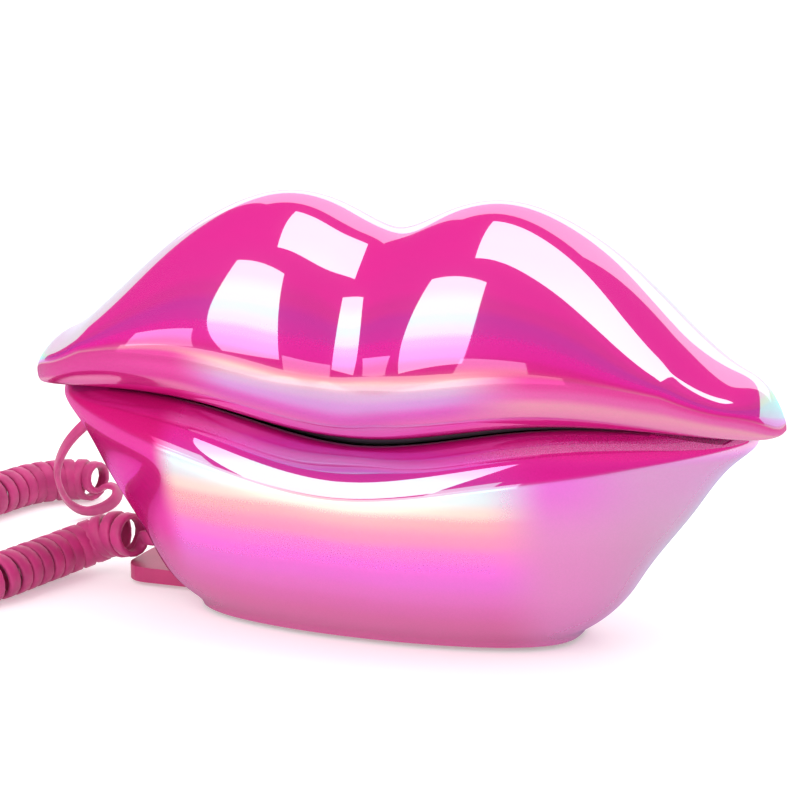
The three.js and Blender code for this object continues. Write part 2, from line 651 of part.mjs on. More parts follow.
function faceplate() {
  const inner = SKIRT_INSET + SKIRT_T;
  const [under, over] = [SEAM_Z - SKIRT_DROP, SKIRT_TOP_Z + OVERCUT];
  const hollow = rimSlab(inner, SKIRT_REACH - SKIRT_T, flat(under), flat(over));
  const room = upperLip(HOLLOW_ROWS, HOLLOW_REACH, WALL + CLEAR, SKIRT_DROP);
  const skirt = skirtSlab(0).subtract(hollow);
  const lap = SKIRT_T / 2;
  const panel = rimSlab(inner - lap, SKIRT_REACH - SKIRT_T + lap, flat(FACE_Z),
    flat(FACE_Z + FACE_T));
  let plate = skirt.add(panel).intersect(room);
  const [top, low] = [FACE_Z + FACE_T + OVERCUT, FACE_Z - OVERCUT];
  for (const [x, y] of keyCentres) {
    plate = plate.subtract(pad(x, y, KEY_X + 2 * CLEAR, KEY_Y + 2 * CLEAR, KEY_R + CLEAR, low, top));
  }
  for (const [x, y] of handsetScrews) {
    plate = plate.subtract(drum(x, y, SCREW_R + CLEAR, low, top, 12));
    plate = plate.subtract(drum(x, y, SCREW_HEAD_R + CLEAR, low, FACE_Z + SCREW_HEAD_T, 12));
  }
  plate = plate.subtract(drum(EAR_X, KEYPAD_Y, EAR_HOLE_R, low, top, 8));
  for (let i = 0; i < EAR_HOLES; i += 1) {
    const a = (2 * Math.PI * i) / EAR_HOLES;
    const [x, y] = [EAR_X + EAR_HOLE_PCD / 2 * Math.cos(a), KEYPAD_Y + EAR_HOLE_PCD / 2 * Math.sin(a)];
    plate = plate.subtract(drum(x, y, EAR_HOLE_R, low, top, 8));
  }
  for (const side of [-1, 0, 1]) {
    plate = plate.subtract(drum(MIC_X, KEYPAD_Y + side * MIC_R / 2, MIC_HOLE_R, low, top, 8));
  }
  return plate;
}

function key(x, y) {
  const shaft = pad(x, y, KEY_X, KEY_Y, KEY_R, FACE_Z - KEY_PROUD, keyTop - KEY_FLANGE_T / 2);
  const flange = block(x, y, KEY_X + 2 * KEY_FLANGE, KEY_Y + 2 * KEY_FLANGE,
    keyTop - KEY_FLANGE_T, keyTop);
  return shaft.add(flange);
}

add("upper_lip_shell", upperShell(), PLATED, 0.08, 0.9);
add("handset_faceplate", faceplate(), BLACK, 0.4);
const keyNames = ["1", "4", "7", "star", "redial", "2", "5", "8", "0", "flash", "3", "6", "9",
  "hash", "mute"];
keyCentres.forEach(([x, y], i) => {
  add(`key_${keyNames[i]}`, key(x, y), 0xf0eef2, 0.5);
});
add("key_mat", block(0, KEYPAD_Y, KEY_COLS * KEY_PITCH, KEY_ROWS * KEY_PITCH, matZ, matZ + MAT_T),
  0x5a5a60, 0.9);
add("handset_circuit_board", block(0, KEYPAD_Y, HANDSET_BOARD_X, HANDSET_BOARD_Y, boardZ,
  boardZ + BOARD_T), 0x1f6b3a, 0.5);
const weightZ = boardZ + BOARD_T + CLEAR;
add("handset_weight", block(0, KEYPAD_Y, WEIGHT[0], WEIGHT[1], weightZ, weightZ + WEIGHT[2]),
  0x8d9196, 0.5, 1);
const capsuleZ = FACE_Z + FACE_T + CLEAR;
add("receiver_capsule", drum(EAR_X, KEYPAD_Y, EAR_R - GASKET_W - CLEAR, capsuleZ, capsuleZ + EAR_H,
  24), 0x3a3a3e, 0.4);
add("receiver_gasket", drum(EAR_X, KEYPAD_Y, EAR_R, capsuleZ, capsuleZ + EAR_H / 2, 24)
  .subtract(drum(EAR_X, KEYPAD_Y, EAR_R - GASKET_W, FACE_Z, capsuleZ + EAR_H, 24)), 0x202022, 0.9);
add("microphone_capsule", drum(MIC_X, KEYPAD_Y, MIC_R, capsuleZ, capsuleZ + MIC_H, 16), 0x3a3a3e,
  0.4);
handsetScrews.forEach(([x, y], i) => {
  add(`handset_screw_${i + 1}`, screw(x, y, FACE_Z, SCREW_L), 0xb9bcc0, 0.35, 1);
});
add("handset_cord_jack", socketed(HANDSET_JACK_X, handsetJackY, handsetJackZ), 0x26262a, 0.5);
add("handset_cord_plug", plugIn(HANDSET_JACK_X, handsetJackY, handsetJackZ), 0xd9dde2, 0.2);

// ---------------------------------------------------------------- curly cord

const LEAD_IN = 4;              // straight cord between the plug and the coil
const [COIL_STEPS, TAIL_STEPS] = [26, 30];
const plugX = cordJackX - PLUG_OUT;
const coilStartX = plugX - LEAD_IN;
const plugY = handsetJackY + PLUG_OUT;
const coilRoute = [
  [coilStartX - CLEAR, CORD_JACK_Y, CORD_Z], [coilStartX - 5, CORD_JACK_Y, CORD_Z],
  [-91, 9, CORD_Z - 0.7], [-98, 8.5, FLOOR_Z + 2.2], [-103, 2, FLOOR_Z + 0.5],
  [-107, -13, FLOOR_Z], [-111, -30, FLOOR_Z], [-122, -45, FLOOR_Z], [-143, -48, FLOOR_Z],
  [-160, -33, FLOOR_Z], [-166, -6, FLOOR_Z], [-163, 24, FLOOR_Z], [-157, 50, FLOOR_Z],
  [-151, 72, FLOOR_Z], [-140, 81, FLOOR_Z], [-129, 78, FLOOR_Z],
];
const tailRoute = [
  [-128.7, 77.9, FLOOR_Z], [-124.5, 76.3, FLOOR_Z - 0.8], [-122.6, 71.5, 4.2],
  [-124.3, 65.5, 2.5], [-127.7, 59.7, 2.8], [-130, 54.5, 6.5], [-130, 49, 12.5],
  [-128, 43.5, 20], [-122, 39, 29.5], [-114, 38, 37.5], [-103, 41, 46], [-92, 46, 57],
  [-81, 49, 68], [HANDSET_JACK_X, plugY + 7, handsetJackZ],
  [HANDSET_JACK_X, plugY + CLEAR, handsetJackZ],
];

add("base_cord_plug", quarterTurn(plugIn(cordJackX, CORD_JACK_Y, CORD_Z), cordJackX,
  CORD_JACK_Y), 0xd9dde2, 0.2);
const leadInRoute = [[plugX - CLEAR, CORD_JACK_Y, CORD_Z], [coilStartX, CORD_JACK_Y, CORD_Z]];
add("cord_lead_in", tube(leadInRoute, CORD_D, 8, 1), PINK, 0.45);
add("cord_coil", tube(coilRoute, COIL_D, 12, COIL_STEPS), PINK, 0.45);
add("cord_tail", tube(tailRoute, CORD_D, 8, TAIL_STEPS), PINK, 0.45);

export default group;
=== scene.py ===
"""Finishes and smooth shapes for the lips telephone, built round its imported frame, in metres."""

import math

import bmesh
import bpy
import numpy as np
from mathutils import Matrix, Quaternion, Vector


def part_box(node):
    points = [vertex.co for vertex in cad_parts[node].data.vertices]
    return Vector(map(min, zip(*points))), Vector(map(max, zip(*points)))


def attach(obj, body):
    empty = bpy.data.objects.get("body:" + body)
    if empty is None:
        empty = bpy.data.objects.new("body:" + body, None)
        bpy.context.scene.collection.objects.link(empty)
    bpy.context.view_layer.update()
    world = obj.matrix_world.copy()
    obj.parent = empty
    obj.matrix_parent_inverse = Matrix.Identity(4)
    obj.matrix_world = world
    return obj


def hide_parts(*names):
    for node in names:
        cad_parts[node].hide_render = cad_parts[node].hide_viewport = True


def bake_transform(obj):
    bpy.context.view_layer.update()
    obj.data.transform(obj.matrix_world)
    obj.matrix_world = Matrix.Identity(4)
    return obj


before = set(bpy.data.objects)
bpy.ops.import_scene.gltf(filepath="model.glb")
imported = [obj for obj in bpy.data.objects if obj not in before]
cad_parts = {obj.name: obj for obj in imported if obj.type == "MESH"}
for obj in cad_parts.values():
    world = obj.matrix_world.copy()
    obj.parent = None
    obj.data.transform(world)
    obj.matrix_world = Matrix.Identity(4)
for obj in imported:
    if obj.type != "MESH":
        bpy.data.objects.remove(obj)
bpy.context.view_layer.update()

bl_info = {
    "name": "Lips Telephone",
    "version": (1, 0, 0),
    "blender": (4, 5, 0),
    "location": "View3D > Sidebar > Lips Phone",
    "description": "Builds the shells, keys, cord and finishes of the lips telephone",
    "category": "Add Mesh",
}

MM = 0.001

# Sizes of the moulded parts, in millimetres, as the frame has them
CLEAR = 0.3
HALF_W = 107.5
HALF_BASE = 100.5
HALF_D = 44.0
SEAM_Z = 59.7
LIP_H = 57.4
CORNER_Y = 3.5
WALL = 2.6
SEAM_WAVE = [[0, -2.7], [0.424, 3.4], [1, 0]]
CREST = [[0, 0.85], [0.15, 0.95], [0.3, 1], [0.45, 0.915], [0.6, 0.734], [0.742, 0.495],
         [0.813, 0.38], [0.884, 0.293], [0.955, 0.203], [1, 0.07]]
UPPER_REACH = 45.5
UPPER_ROLL = 12
UPPER_FULL_Z = 14
FRONT_POWER = 0.87
RIDGE_SETBACK = 4
GROOVE = 4.2
GROOVE_SPREAD = 0.125
BACK_POWER = 1.2
TIP_START = 0.3
TIP_MID = 0.35
HOLLOW_REACH = 0.91
CORNER_ROLL = 0.3
FULL_LIMIT = 0.45
BASE_BOTTOM_Z = 1.2
LOWER_HALF_W = [[0, 0.547], [0.06, 0.587], [0.3, 0.713], [0.6, 0.841], [0.85, 0.95],
                [0.97, 1], [1, 0.992]]
LOWER_FRONT = [[0, 0.602], [0.08, 0.66], [0.35, 0.83], [0.72, 1], [0.9, 0.92], [1, 0.705]]
LOWER_BACK = [[0, 0.59], [0.1, 0.636], [0.5, 0.818], [1, 0.955]]
LOWER_SQUARE = [[0, 0.66], [0.3, 0.75], [1, 1]]
LOWER_BACK_POWER = 0.4
STRIP_H = 1.9
STRIP_POWER = 1.5
SKIRT_T = 2
SKIRT_INSET = WALL + CLEAR
SKIRT_END = 0.9
SKIRT_TOP_Z = SEAM_Z + 5.6
FACE_Z = SEAM_Z + 2.3
FACE_T = 2.4
KEYPAD_Y = 7
KEY_ROWS = [["1", "4", "7", "star", "redial"], ["2", "5", "8", "0", "flash"],
            ["3", "6", "9", "hash", "mute"]]
KEY_PITCH = 13
LEGENDS = {"star": "*", "hash": "#", "redial": "R", "flash": "F", "mute": "M"}
EAR_X = -55
MIC_X = 60
COIL_R = 6.75
FLOOR_Z = COIL_R + 0.15
CORD_Z = 12.65
KEY_HOLE_W = 9.0
KEY_HOLE_D = 10.2
KEY_HOLE_R = 1.9
KEY_W = 8.4
KEY_D = 9.6
KEY_R = 1.6
KEY_LEAST_R = 0.25
KEY_STEPS = 5
KEY_DISH = [(3.6, 0.42), (2.6, 0.36), (1.5, 0.22), (0.75, 0.08), (0.35, 0.02), (0.1, 0.16),
            (0.0, 0.45)]   # inset from the cap's side, height over its lowest face
FLANGE_W = 10.4
FLANGE_D = 11.6
FLANGE_R = 0.5
FLANGE_T = 0.8
LEGEND_SIZE = 5.2
LEGEND_T = 0.16
LEGEND_LIFT = 0.3
SCREW_SEAT_R = 2.9
SCREW_SEAT_H = 1.5
SCREW_HOLE_R = 1.6
EAR_HOLES = 7
EAR_RING_R = 6.5
EAR_HOLE_R = 1.1
MIC_SIDES = (-2.5, 0, 2.5)
MIC_HOLE_R = 0.9
SMALL_HOLE_STEPS = 16
CUT_BELOW = 3              # how far the cutting pieces reach past the panel
CUT_ABOVE = 4
FACE_SOFTEN = 0.25
SKIRT_PAST = 0.5
FOOT_MIDDLE_Y = 13
FOOT_END_X = -44
FOOT_ROOM_D = 26.6
FOOT_ROOM_R = 7.3
FOOT_ROOM_GROW = 0.6
FOOT_ROOM_Z = (-1, 5.9)
JACK_REACH = 8
KNOB_REACH = 5
SECTION_STEPS = 40
OUTER_POINTS = 118
INNER_POINTS = 34
LOWER_ROWS = 90
INNER_EVERY = 6
EASE_IN = 0.5
EASE_OUT = -0.52


# ---------------------------------------------------------------- the shapes in numbers

def smooth_curve(pairs):
    """An even curve without kinks through pairs of place and value."""
    places = np.array([-p for p, _ in pairs[:0:-1]] + [p for p, _ in pairs], float)
    values = np.array([v for _, v in pairs[:0:-1]] + [v for _, v in pairs], float)
    count, step = len(places), np.diff(places)
    rise = np.diff(values) / step
    system, right = np.eye(count), np.zeros(count)
    for i in range(1, count - 1):
        system[i, i - 1:i + 2] = step[i - 1], 2 * (step[i - 1] + step[i]), step[i]
        right[i] = 6 * (rise[i] - rise[i - 1])
    bend = np.linalg.solve(system, right)

    def value_at(place):
        x = np.clip(np.abs(place), 0, places[-1])
        i = np.clip(np.searchsorted(places, x, side="right") - 1, 0, count - 2)
        h, a, b = step[i], places[i + 1] - x, x - places[i]
        curved = (bend[i] * a ** 3 + bend[i + 1] * b ** 3) / (6 * h)
        straight = (values[i] / h - bend[i] * h / 6) * a + (values[i + 1] / h - bend[i + 1] * h / 6) * b
        return curved + straight

    return value_at


seam_wave = smooth_curve(SEAM_WAVE)
crest_share = smooth_curve(CREST)
lower_half_w = smooth_curve([[v, s * HALF_BASE] for v, s in LOWER_HALF_W])
lower_front = smooth_curve([[v, s * HALF_D] for v, s in LOWER_FRONT])
lower_back = smooth_curve([[v, s * HALF_D] for v, s in LOWER_BACK])
lower_square = smooth_curve(LOWER_SQUARE)


def seam_z(x):
    return SEAM_Z + seam_wave(x / HALF_W)


def strip_h(x):
    return STRIP_H * np.maximum(0, 1 - np.abs(x / HALF_W) ** STRIP_POWER)


def lower_rim_z(x):
    return seam_z(x) - strip_h(x) - CLEAR


def bezier(start, bend_1, bend_2, end, s):
    r = 1 - s
    return r ** 3 * start + 3 * r * r * s * bend_1 + 3 * r * s * s * bend_2 + s ** 3 * end


def evenly(points, count):
    """The same line with its points evenly spaced."""
    reach = np.concatenate([[0], np.cumsum(np.linalg.norm(np.diff(points, axis=0), axis=1))])
    if reach[-1] < 1e-9:
        return np.repeat(points[:1], count, axis=0)
    at = np.linspace(0, reach[-1], count)
    return np.stack([np.interp(at, reach, points[:, k]) for k in range(points.shape[1])], axis=1)


def eased(rows, rounds):
    """Lines of points with their small kinks eased out, their ends kept."""
    rows = rows.copy()
    for i in range(2 * rounds):
        push = EASE_IN if i % 2 == 0 else EASE_OUT
        pull = (rows[:, 2:] + rows[:, :-2]) / 2 - rows[:, 1:-1]
        rows[:, 1:-1] += push * pull
    return rows


def upper_rim(t):
    """The y of the upper lip's rim at share t of the half width, front and back."""
    c = math.sqrt(max(0.0, 1 - t * t))
    front = CORNER_Y - UPPER_REACH * c ** FRONT_POWER + UPPER_ROLL * c
    return front, CORNER_Y + (HALF_D - CORNER_Y) * c ** BACK_POWER


def upper_section(t, inset, count):
    """The upper lip's section at t, from its front rim over the crest to its back rim."""
    c = math.sqrt(max(0.0, 1 - t * t))
    closing = math.sqrt(1 - (1 - min(c / TIP_START, 1)) ** 2)
    rim_front, rim_back = upper_rim(t)
    low_z = float(seam_z(t * HALF_W))
    crest_z = SEAM_Z + LIP_H * float(crest_share(t)) - inset
    groove = GROOVE * math.exp(-(t / GROOVE_SPREAD) ** 2)
    full_y = CORNER_Y - UPPER_REACH * c ** FRONT_POWER + groove + inset
    rim_y, ridge_y, back_y = rim_front + inset, CORNER_Y - RIDGE_SETBACK * c, rim_back - inset
    roll = UPPER_FULL_Z * (CORNER_ROLL + (1 - CORNER_ROLL) * c)
    full_z = low_z + min(roll, FULL_LIMIT * (crest_z - low_z))
    middle = low_z + TIP_MID * (crest_z - low_z)
    z0, z1, z2 = [middle + (z - middle) * closing for z in (low_z, full_z, crest_z)]
    s = np.linspace(0, 1, SECTION_STEPS)
    under = [bezier(rim_y, rim_y + (full_y - rim_y) * 0.6, full_y, full_y, s),
             bezier(z0, z0, z1 - (z1 - z0) * 0.55, z1, s)]
    face = [bezier(full_y, full_y, (ridge_y + full_y) / 2, ridge_y, s),
            bezier(z1, z1 + (z2 - z1) * 0.45, z2, z2, s)]
    back = [bezier(ridge_y, ridge_y + (back_y - ridge_y) * 0.55, back_y, back_y, s),
            bezier(z2, z2, (z2 + z0) / 2, z0, s)]
    line = np.concatenate([np.stack(part, axis=1)[i > 0:] for i, part in
                           enumerate((under, face, back))])
    return evenly(line, count)


def lower_outline(v, angles, inset):
    """The lower lip's outline at share v of its height."""
    cos, depth = np.cos(angles), np.abs(np.sin(angles))
    x = (float(lower_half_w(v)) - inset) * cos
    corner = CORNER_Y * v
    front = corner - (float(lower_front(v)) - inset + corner) * depth ** float(lower_square(v))
    back = corner + (float(lower_back(v)) - inset - corner) * depth ** (1 + LOWER_BACK_POWER * v)
    z = BASE_BOTTOM_Z + v * (lower_rim_z(x) - BASE_BOTTOM_Z)
    return np.stack([x, np.where(np.sin(angles) < 0, front, back), z], axis=1)


# ---------------------------------------------------------------- meshes

def mesh_piece(name, points, faces):
    """A new object from points in millimetres and faces."""
    mesh = bpy.data.meshes.new(name)
    mesh.from_pydata([tuple(c * MM for c in p) for p in points], [], faces)
    piece = bpy.data.objects.new(name, mesh)
    bpy.context.scene.collection.objects.link(piece)
    return piece


def tidied(piece, merge=0.004, sharp=40):
    """Merges doubled points, turns faces outwards and keeps real edges crisp."""
    work = bmesh.new()
    work.from_mesh(piece.data)
    bmesh.ops.remove_doubles(work, verts=work.verts, dist=merge * MM)
    bmesh.ops.dissolve_degenerate(work, edges=work.edges, dist=1e-7)
    bmesh.ops.recalc_face_normals(work, faces=work.faces)
    for face in work.faces:
        face.smooth = True
    work.to_mesh(piece.data)
    work.free()
    piece.data.set_sharp_from_angle(angle=math.radians(sharp))
    return piece


def grid_faces(rows, columns, closed):
    """Faces of a grid of points, row after row; closed joins the last column to the first."""
    across = columns if closed else columns - 1
    return [(r * columns + c, r * columns + (c + 1) % columns,
             (r + 1) * columns + (c + 1) % columns, (r + 1) * columns + c)
            for r in range(rows - 1) for c in range(across)]


def slab(name, outline, low, high):
    """An upright plate from an outline of (x, y) pairs."""
    count = len(outline)
    points = [(x, y, low) for x, y in outline] + [(x, y, high) for x, y in outline]
    faces = [tuple(range(count))[::-1], tuple(range(count, 2 * count))]
    faces += [(i, (i + 1) % count, count + (i + 1) % count, count + i) for i in range(count)]
    return mesh_piece(name, points, faces)


def round_outline(x, y, width, depth, radius, steps=8):
    """The corner points of a rectangle with round corners."""
    corners = [(1, 1, 0), (-1, 1, 90), (-1, -1, 180), (1, -1, 270)]
    outline = []
    for side_x, side_y, start in corners:
        for i in range(steps + 1):
            a = math.radians(start + 90 * i / steps)
            outline.append((x + side_x * (width / 2 - radius) + radius * math.cos(a),
                            y + side_y * (depth / 2 - radius) + radius * math.sin(a)))
    return outline


def circle(x, y, radius, steps=24):
    turn = [2 * math.pi * i / steps for i in range(steps)]
    return [(x + radius * math.cos(a), y + radius * math.sin(a)) for a in turn]


def joined(name, parts):
    """Several pieces as one mesh."""
    work = bmesh.new()
    for part in parts:
        work.from_mesh(part.data)
        bpy.data.objects.remove(part)
    mesh = bpy.data.meshes.new(name)
    work.to_mesh(mesh)
    work.free()
    piece = bpy.data.objects.new(name, mesh)
    bpy.context.scene.collection.objects.link(piece)
    return piece


def apply_modifiers(piece):
    graph = bpy.context.evaluated_depsgraph_get()
    graph.update()
    made = bpy.data.meshes.new_from_object(piece.evaluated_get(graph))
    piece.modifiers.clear()
    piece.data = made
    return piece


def cut(piece, tools):
    """Cuts the tools out of a piece and removes them."""
    tool = joined("cutting_tools", tools)
    step = piece.modifiers.new("cut", "BOOLEAN")
    step.operation, step.solver, step.object = "DIFFERENCE", "EXACT", tool
    apply_modifiers(piece)
    bpy.data.objects.remove(tool)
    return piece


def softened(piece, width, segments=3, angle=35):
    """Rounds a piece's edges."""
    step = piece.modifiers.new("soft edges", "BEVEL")
    step.width, step.segments, step.limit_method = width * MM, segments, "ANGLE"
    step.angle_limit = math.radians(angle)
    apply_modifiers(piece)
    for face in piece.data.polygons:
        face.use_smooth = True
    piece.data.set_sharp_from_angle(angle=math.radians(angle))
    return piece


def finish_piece(piece, body, slot, material, *nodes):
    """Gives a piece its material and its body, and hides the frame's nodes that it stands for."""
    piece.data.materials.clear()
    piece.data.materials.append(material)
    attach(piece, body)
    if nodes:
        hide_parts(*nodes)
    return piece


def frame_box(node):
    """A frame node's box in millimetres."""
    low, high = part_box(node)
    return [c / MM for c in low], [c / MM for c in high]


# ---------------------------------------------------------------- finishes

def new_finish(name):
    material = bpy.data.materials.new(name)
    material.use_nodes = True
    tree = material.node_tree
    shader = next(n for n in tree.nodes if n.type == "BSDF_PRINCIPLED")
    return material, tree, shader


def add_node(tree, kind, inputs=None, **settings):
    made = tree.nodes.new(kind)
    for key, value in settings.items():
        setattr(made, key, value)
    for key, value in (inputs or {}).items():
        made.inputs[key].default_value = value
    return made


def piece_space(tree):
    return add_node(tree, "ShaderNodeTexCoord").outputs["Object"]


def ramp(tree, source, stops, interpolation="EASE"):
    made = add_node(tree, "ShaderNodeValToRGB")
    made.color_ramp.interpolation = interpolation
    elements = made.color_ramp.elements
    while len(elements) < len(stops):
        elements.new(0.5)
    for element, (place, colour) in zip(elements, stops):
        element.position = place
        element.color = (*colour[:3], 1)
    tree.links.new(source, made.inputs["Fac"])
    return made.outputs["Color"]


def noise(tree, size_mm, detail=4.0, roughness=0.55):
    made = add_node(tree, "ShaderNodeTexNoise",
                    {"Scale": 1 / (size_mm * MM), "Detail": detail, "Roughness": roughness})
    tree.links.new(piece_space(tree), made.inputs["Vector"])
    return made.outputs["Fac"]


def bumped(tree, shader, height, depth_mm, strength=0.5):
    made = add_node(tree, "ShaderNodeBump", {"Strength": strength, "Distance": depth_mm * MM})
    tree.links.new(height, made.inputs["Height"])
    tree.links.new(made.outputs["Normal"], shader.inputs["Normal"])


def ranged(tree, source, low, high):
    made = add_node(tree, "ShaderNodeMapRange", {"To Min": low, "To Max": high})
    tree.links.new(source, made.inputs["Value"])
    return made.outputs["Result"]


def ranged_from(tree, source, low, high):
    made = add_node(tree, "ShaderNodeMapRange", {"From Min": low, "From Max": high})
    tree.links.new(source, made.inputs["Value"])
    return made.outputs["Result"]


def product(tree, first, second):
    made = add_node(tree, "ShaderNodeMath", operation="MULTIPLY")
    tree.links.new(first, made.inputs[0])
    tree.links.new(second, made.inputs[1])
    return made.outputs[0]


def smooth_step(tree, source, start, full):
    """0 at start, 1 at full, with a soft change between."""
    made = add_node(tree, "ShaderNodeMapRange", {"From Min": start, "From Max": full},
                    interpolation_type="SMOOTHSTEP")
    tree.links.new(source, made.inputs["Value"])
    return made.outputs["Result"]


def shaded(colour, factor):
    return tuple(min(1.0, c * factor) for c in colour[:3])


def moulded(name, colour, roughness, grain_mm, depth_mm, tone=0.12, metallic=0.0):
    """Moulded or turned stock with a fine grain, a slight change of tone and uneven gloss."""
    material, tree, shader = new_finish(name)
    grain = noise(tree, grain_mm)
    cloud = noise(tree, grain_mm * 60, 2.0)
    tones = ramp(tree, cloud, [(0.3, shaded(colour, 1 - tone)), (0.7, shaded(colour, 1 + tone))])
    tree.links.new(tones, shader.inputs["Base Color"])
    tree.links.new(ranged(tree, grain, roughness * 0.85, roughness * 1.15),
                   shader.inputs["Roughness"])
    bumped(tree, shader, grain, depth_mm)
    shader.inputs["Metallic"].default_value = metallic
    return material


def brushed(name, colour, roughness, along):
    """Metal with fine drawn lines along one direction."""
    material, tree, shader = new_finish(name)
    stretch = add_node(tree, "ShaderNodeMapping")
    stretch.inputs["Scale"].default_value = along
    tree.links.new(piece_space(tree), stretch.inputs["Vector"])
    lines = add_node(tree, "ShaderNodeTexNoise", {"Scale": 1.0, "Detail": 5.0})
    tree.links.new(stretch.outputs["Vector"], lines.inputs["Vector"])
    tones = ramp(tree, lines.outputs["Fac"], [(0.3, shaded(colour, 0.85)), (0.7, shaded(colour, 1.1))])
    tree.links.new(tones, shader.inputs["Base Color"])
    tree.links.new(ranged(tree, lines.outputs["Fac"], roughness * 0.7, roughness * 1.3),
                   shader.inputs["Roughness"])
    bumped(tree, shader, lines.outputs["Fac"], 0.02)
    shader.inputs["Metallic"].default_value = 1.0
    return material


def board_green(name, colour):
    """Circuit board lacquer over copper lines."""
    material, tree, shader = new_finish(name)
    tracks = add_node(tree, "ShaderNodeTexBrick",
                      {"Scale": 260.0, "Mortar Size": 0.03, "Color1": (*colour[:3], 1),
                       "Color2": (*shaded(colour, 0.8), 1), "Mortar": (*shaded(colour, 1.9), 1)})
    tree.links.new(piece_space(tree), tracks.inputs["Vector"])
    tree.links.new(tracks.outputs["Color"], shader.inputs["Base Color"])
    bumped(tree, shader, tracks.outputs["Fac"], 0.03)
    shader.inputs["Roughness"].default_value = 0.3
    return material


def clear_plug(name, colour):
    """Clear moulded plug plastic, slightly clouded."""
    material, tree, shader = new_finish(name)
    cloud = noise(tree, 3.0)
    tones = ramp(tree, cloud, [(0.3, shaded(colour, 0.9)), (0.7, colour)])
    tree.links.new(tones, shader.inputs["Base Color"])
    tree.links.new(ranged(tree, cloud, 0.08, 0.2), shader.inputs["Roughness"])
    shader.inputs["Transmission Weight"].default_value = 0.75
    shader.inputs["IOR"].default_value = 1.55
    return material


def cord_jacket(name, colour):
    """Matt vinyl jacket with a dry bloom and a fine grain."""
    material, tree, shader = new_finish(name)
    cloud, grain = noise(tree, 7.0, 3.0), noise(tree, 0.25)
    tones = ramp(tree, cloud, [(0.3, shaded(colour, 0.85)), (0.7, shaded(colour, 1.15))])
    tree.links.new(tones, shader.inputs["Base Color"])
    tree.links.new(ranged(tree, grain, 0.42, 0.6), shader.inputs["Roughness"])
    bumped(tree, shader, grain, 0.03, 0.35)
    shader.inputs["Sheen Weight"].default_value = 0.15
    shader.inputs["Sheen Roughness"].default_value = 0.4
    return material


# Upper lip's mirror tints by the surface's tilt: partly the coating's pearl colours, partly painted
# reflection colour, paler on the faces that tilt upwards and darker, as painted shade, on those that
# tilt downwards
UPPER_PEARL_AND_PAINTED_REFLECTION_TINTS = [
    (0.20, (0.50, 0.22, 0.42)), (0.33, (0.32, 0.13, 0.42)), (0.42, (0.22, 0.26, 0.48)),
    (0.475, (0.24, 0.36, 0.46)), (0.515, (0.34, 0.42, 0.40)), (0.55, (0.50, 0.46, 0.34)),
    (0.60, (0.46, 0.32, 0.50)), (0.64, (0.56, 0.41, 0.83)), (0.675, (0.54, 0.52, 0.88)),
    (0.70, (0.34, 0.84, 0.88)), (0.735, (0.28, 0.96, 0.88)), (0.77, (0.42, 0.97, 0.70)),
    (0.81, (0.58, 0.80, 0.80)), (0.90, (0.66, 0.70, 0.82)), (1.0, (0.70, 0.62, 0.78))]
# Lower lip's mirror tints by height: partly the coating's pearl colours, partly painted reflection
# colour, darkening towards the floor as painted shade from the contact shadow
LOWER_PEARL_AND_PAINTED_SHADE_TINTS = [
    (0.03, (0.36, 0.22, 0.32)), (0.15, (0.42, 0.25, 0.38)), (0.22, (0.46, 0.25, 0.47)),
    (0.29, (0.53, 0.26, 0.60)), (0.365, (0.60, 0.25, 0.76)), (0.43, (0.75, 0.25, 0.86)),
    (0.50, (0.82, 0.31, 0.76)), (0.575, (0.78, 0.44, 0.52)), (0.66, (0.74, 0.60, 0.46)),
    (0.71, (0.68, 0.92, 0.64)), (0.77, (0.44, 0.97, 0.84)), (0.84, (0.34, 0.97, 0.90)),
    (0.875, (0.50, 0.70, 0.90)), (0.91, (0.62, 0.48, 0.86)), (0.96, (0.70, 0.52, 0.74))]
# Painted shade and painted reflection colour: darker magenta and dusty tints that take over towards an
# end of a lip: where the change starts and is full (x in metres), the place on the ramp it stops at, and
# the tints
UPPER_PAINTED_SHADE_ENDS = [
    (-0.030, -0.050, 0.56, [(0.15, (0.40, 0.12, 0.26)), (0.25, (0.46, 0.22, 0.32)),
                            (0.33, (0.34, 0.05, 0.20)), (0.53, (0.30, 0.04, 0.16))]),
    (0.028, 0.052, 0.56, [(0.20, (0.46, 0.30, 0.38)), (0.33, (0.46, 0.34, 0.34)),
                          (0.42, (0.42, 0.13, 0.30)), (0.50, (0.40, 0.05, 0.20))]),
]
LOWER_PAINTED_SHADE_AND_REFLECTION_ENDS = [
    (-0.048, -0.057, 1.2, [(0.25, (0.42, 0.20, 0.38)), (0.48, (0.60, 0.06, 0.40)),
                           (0.66, (0.46, 0.03, 0.32)), (0.90, (0.44, 0.03, 0.22))]),
    (0.038, 0.056, 0.92, [(0.56, (0.48, 0.36, 0.58)), (0.85, (0.50, 0.20, 0.66))]),
    (0.056, 0.080, 0.92, [(0.56, (0.34, 0.40, 0.50)), (0.85, (0.36, 0.36, 0.54))]),
]


TINT_TOP = 0.06       # height in metres at which the lower lip's tints end
TINT_WANDER = 0.03    # share of the ramp by which the tints wander
TINT_BLEND = 0.03     # share of the ramp over which an end's tints give way
MIRROR_ROUGHNESS = 0.03
MIRROR_IOR = 1.9
MIRROR_LEAST = 0.56   # share of the mirror where the surface is seen square on


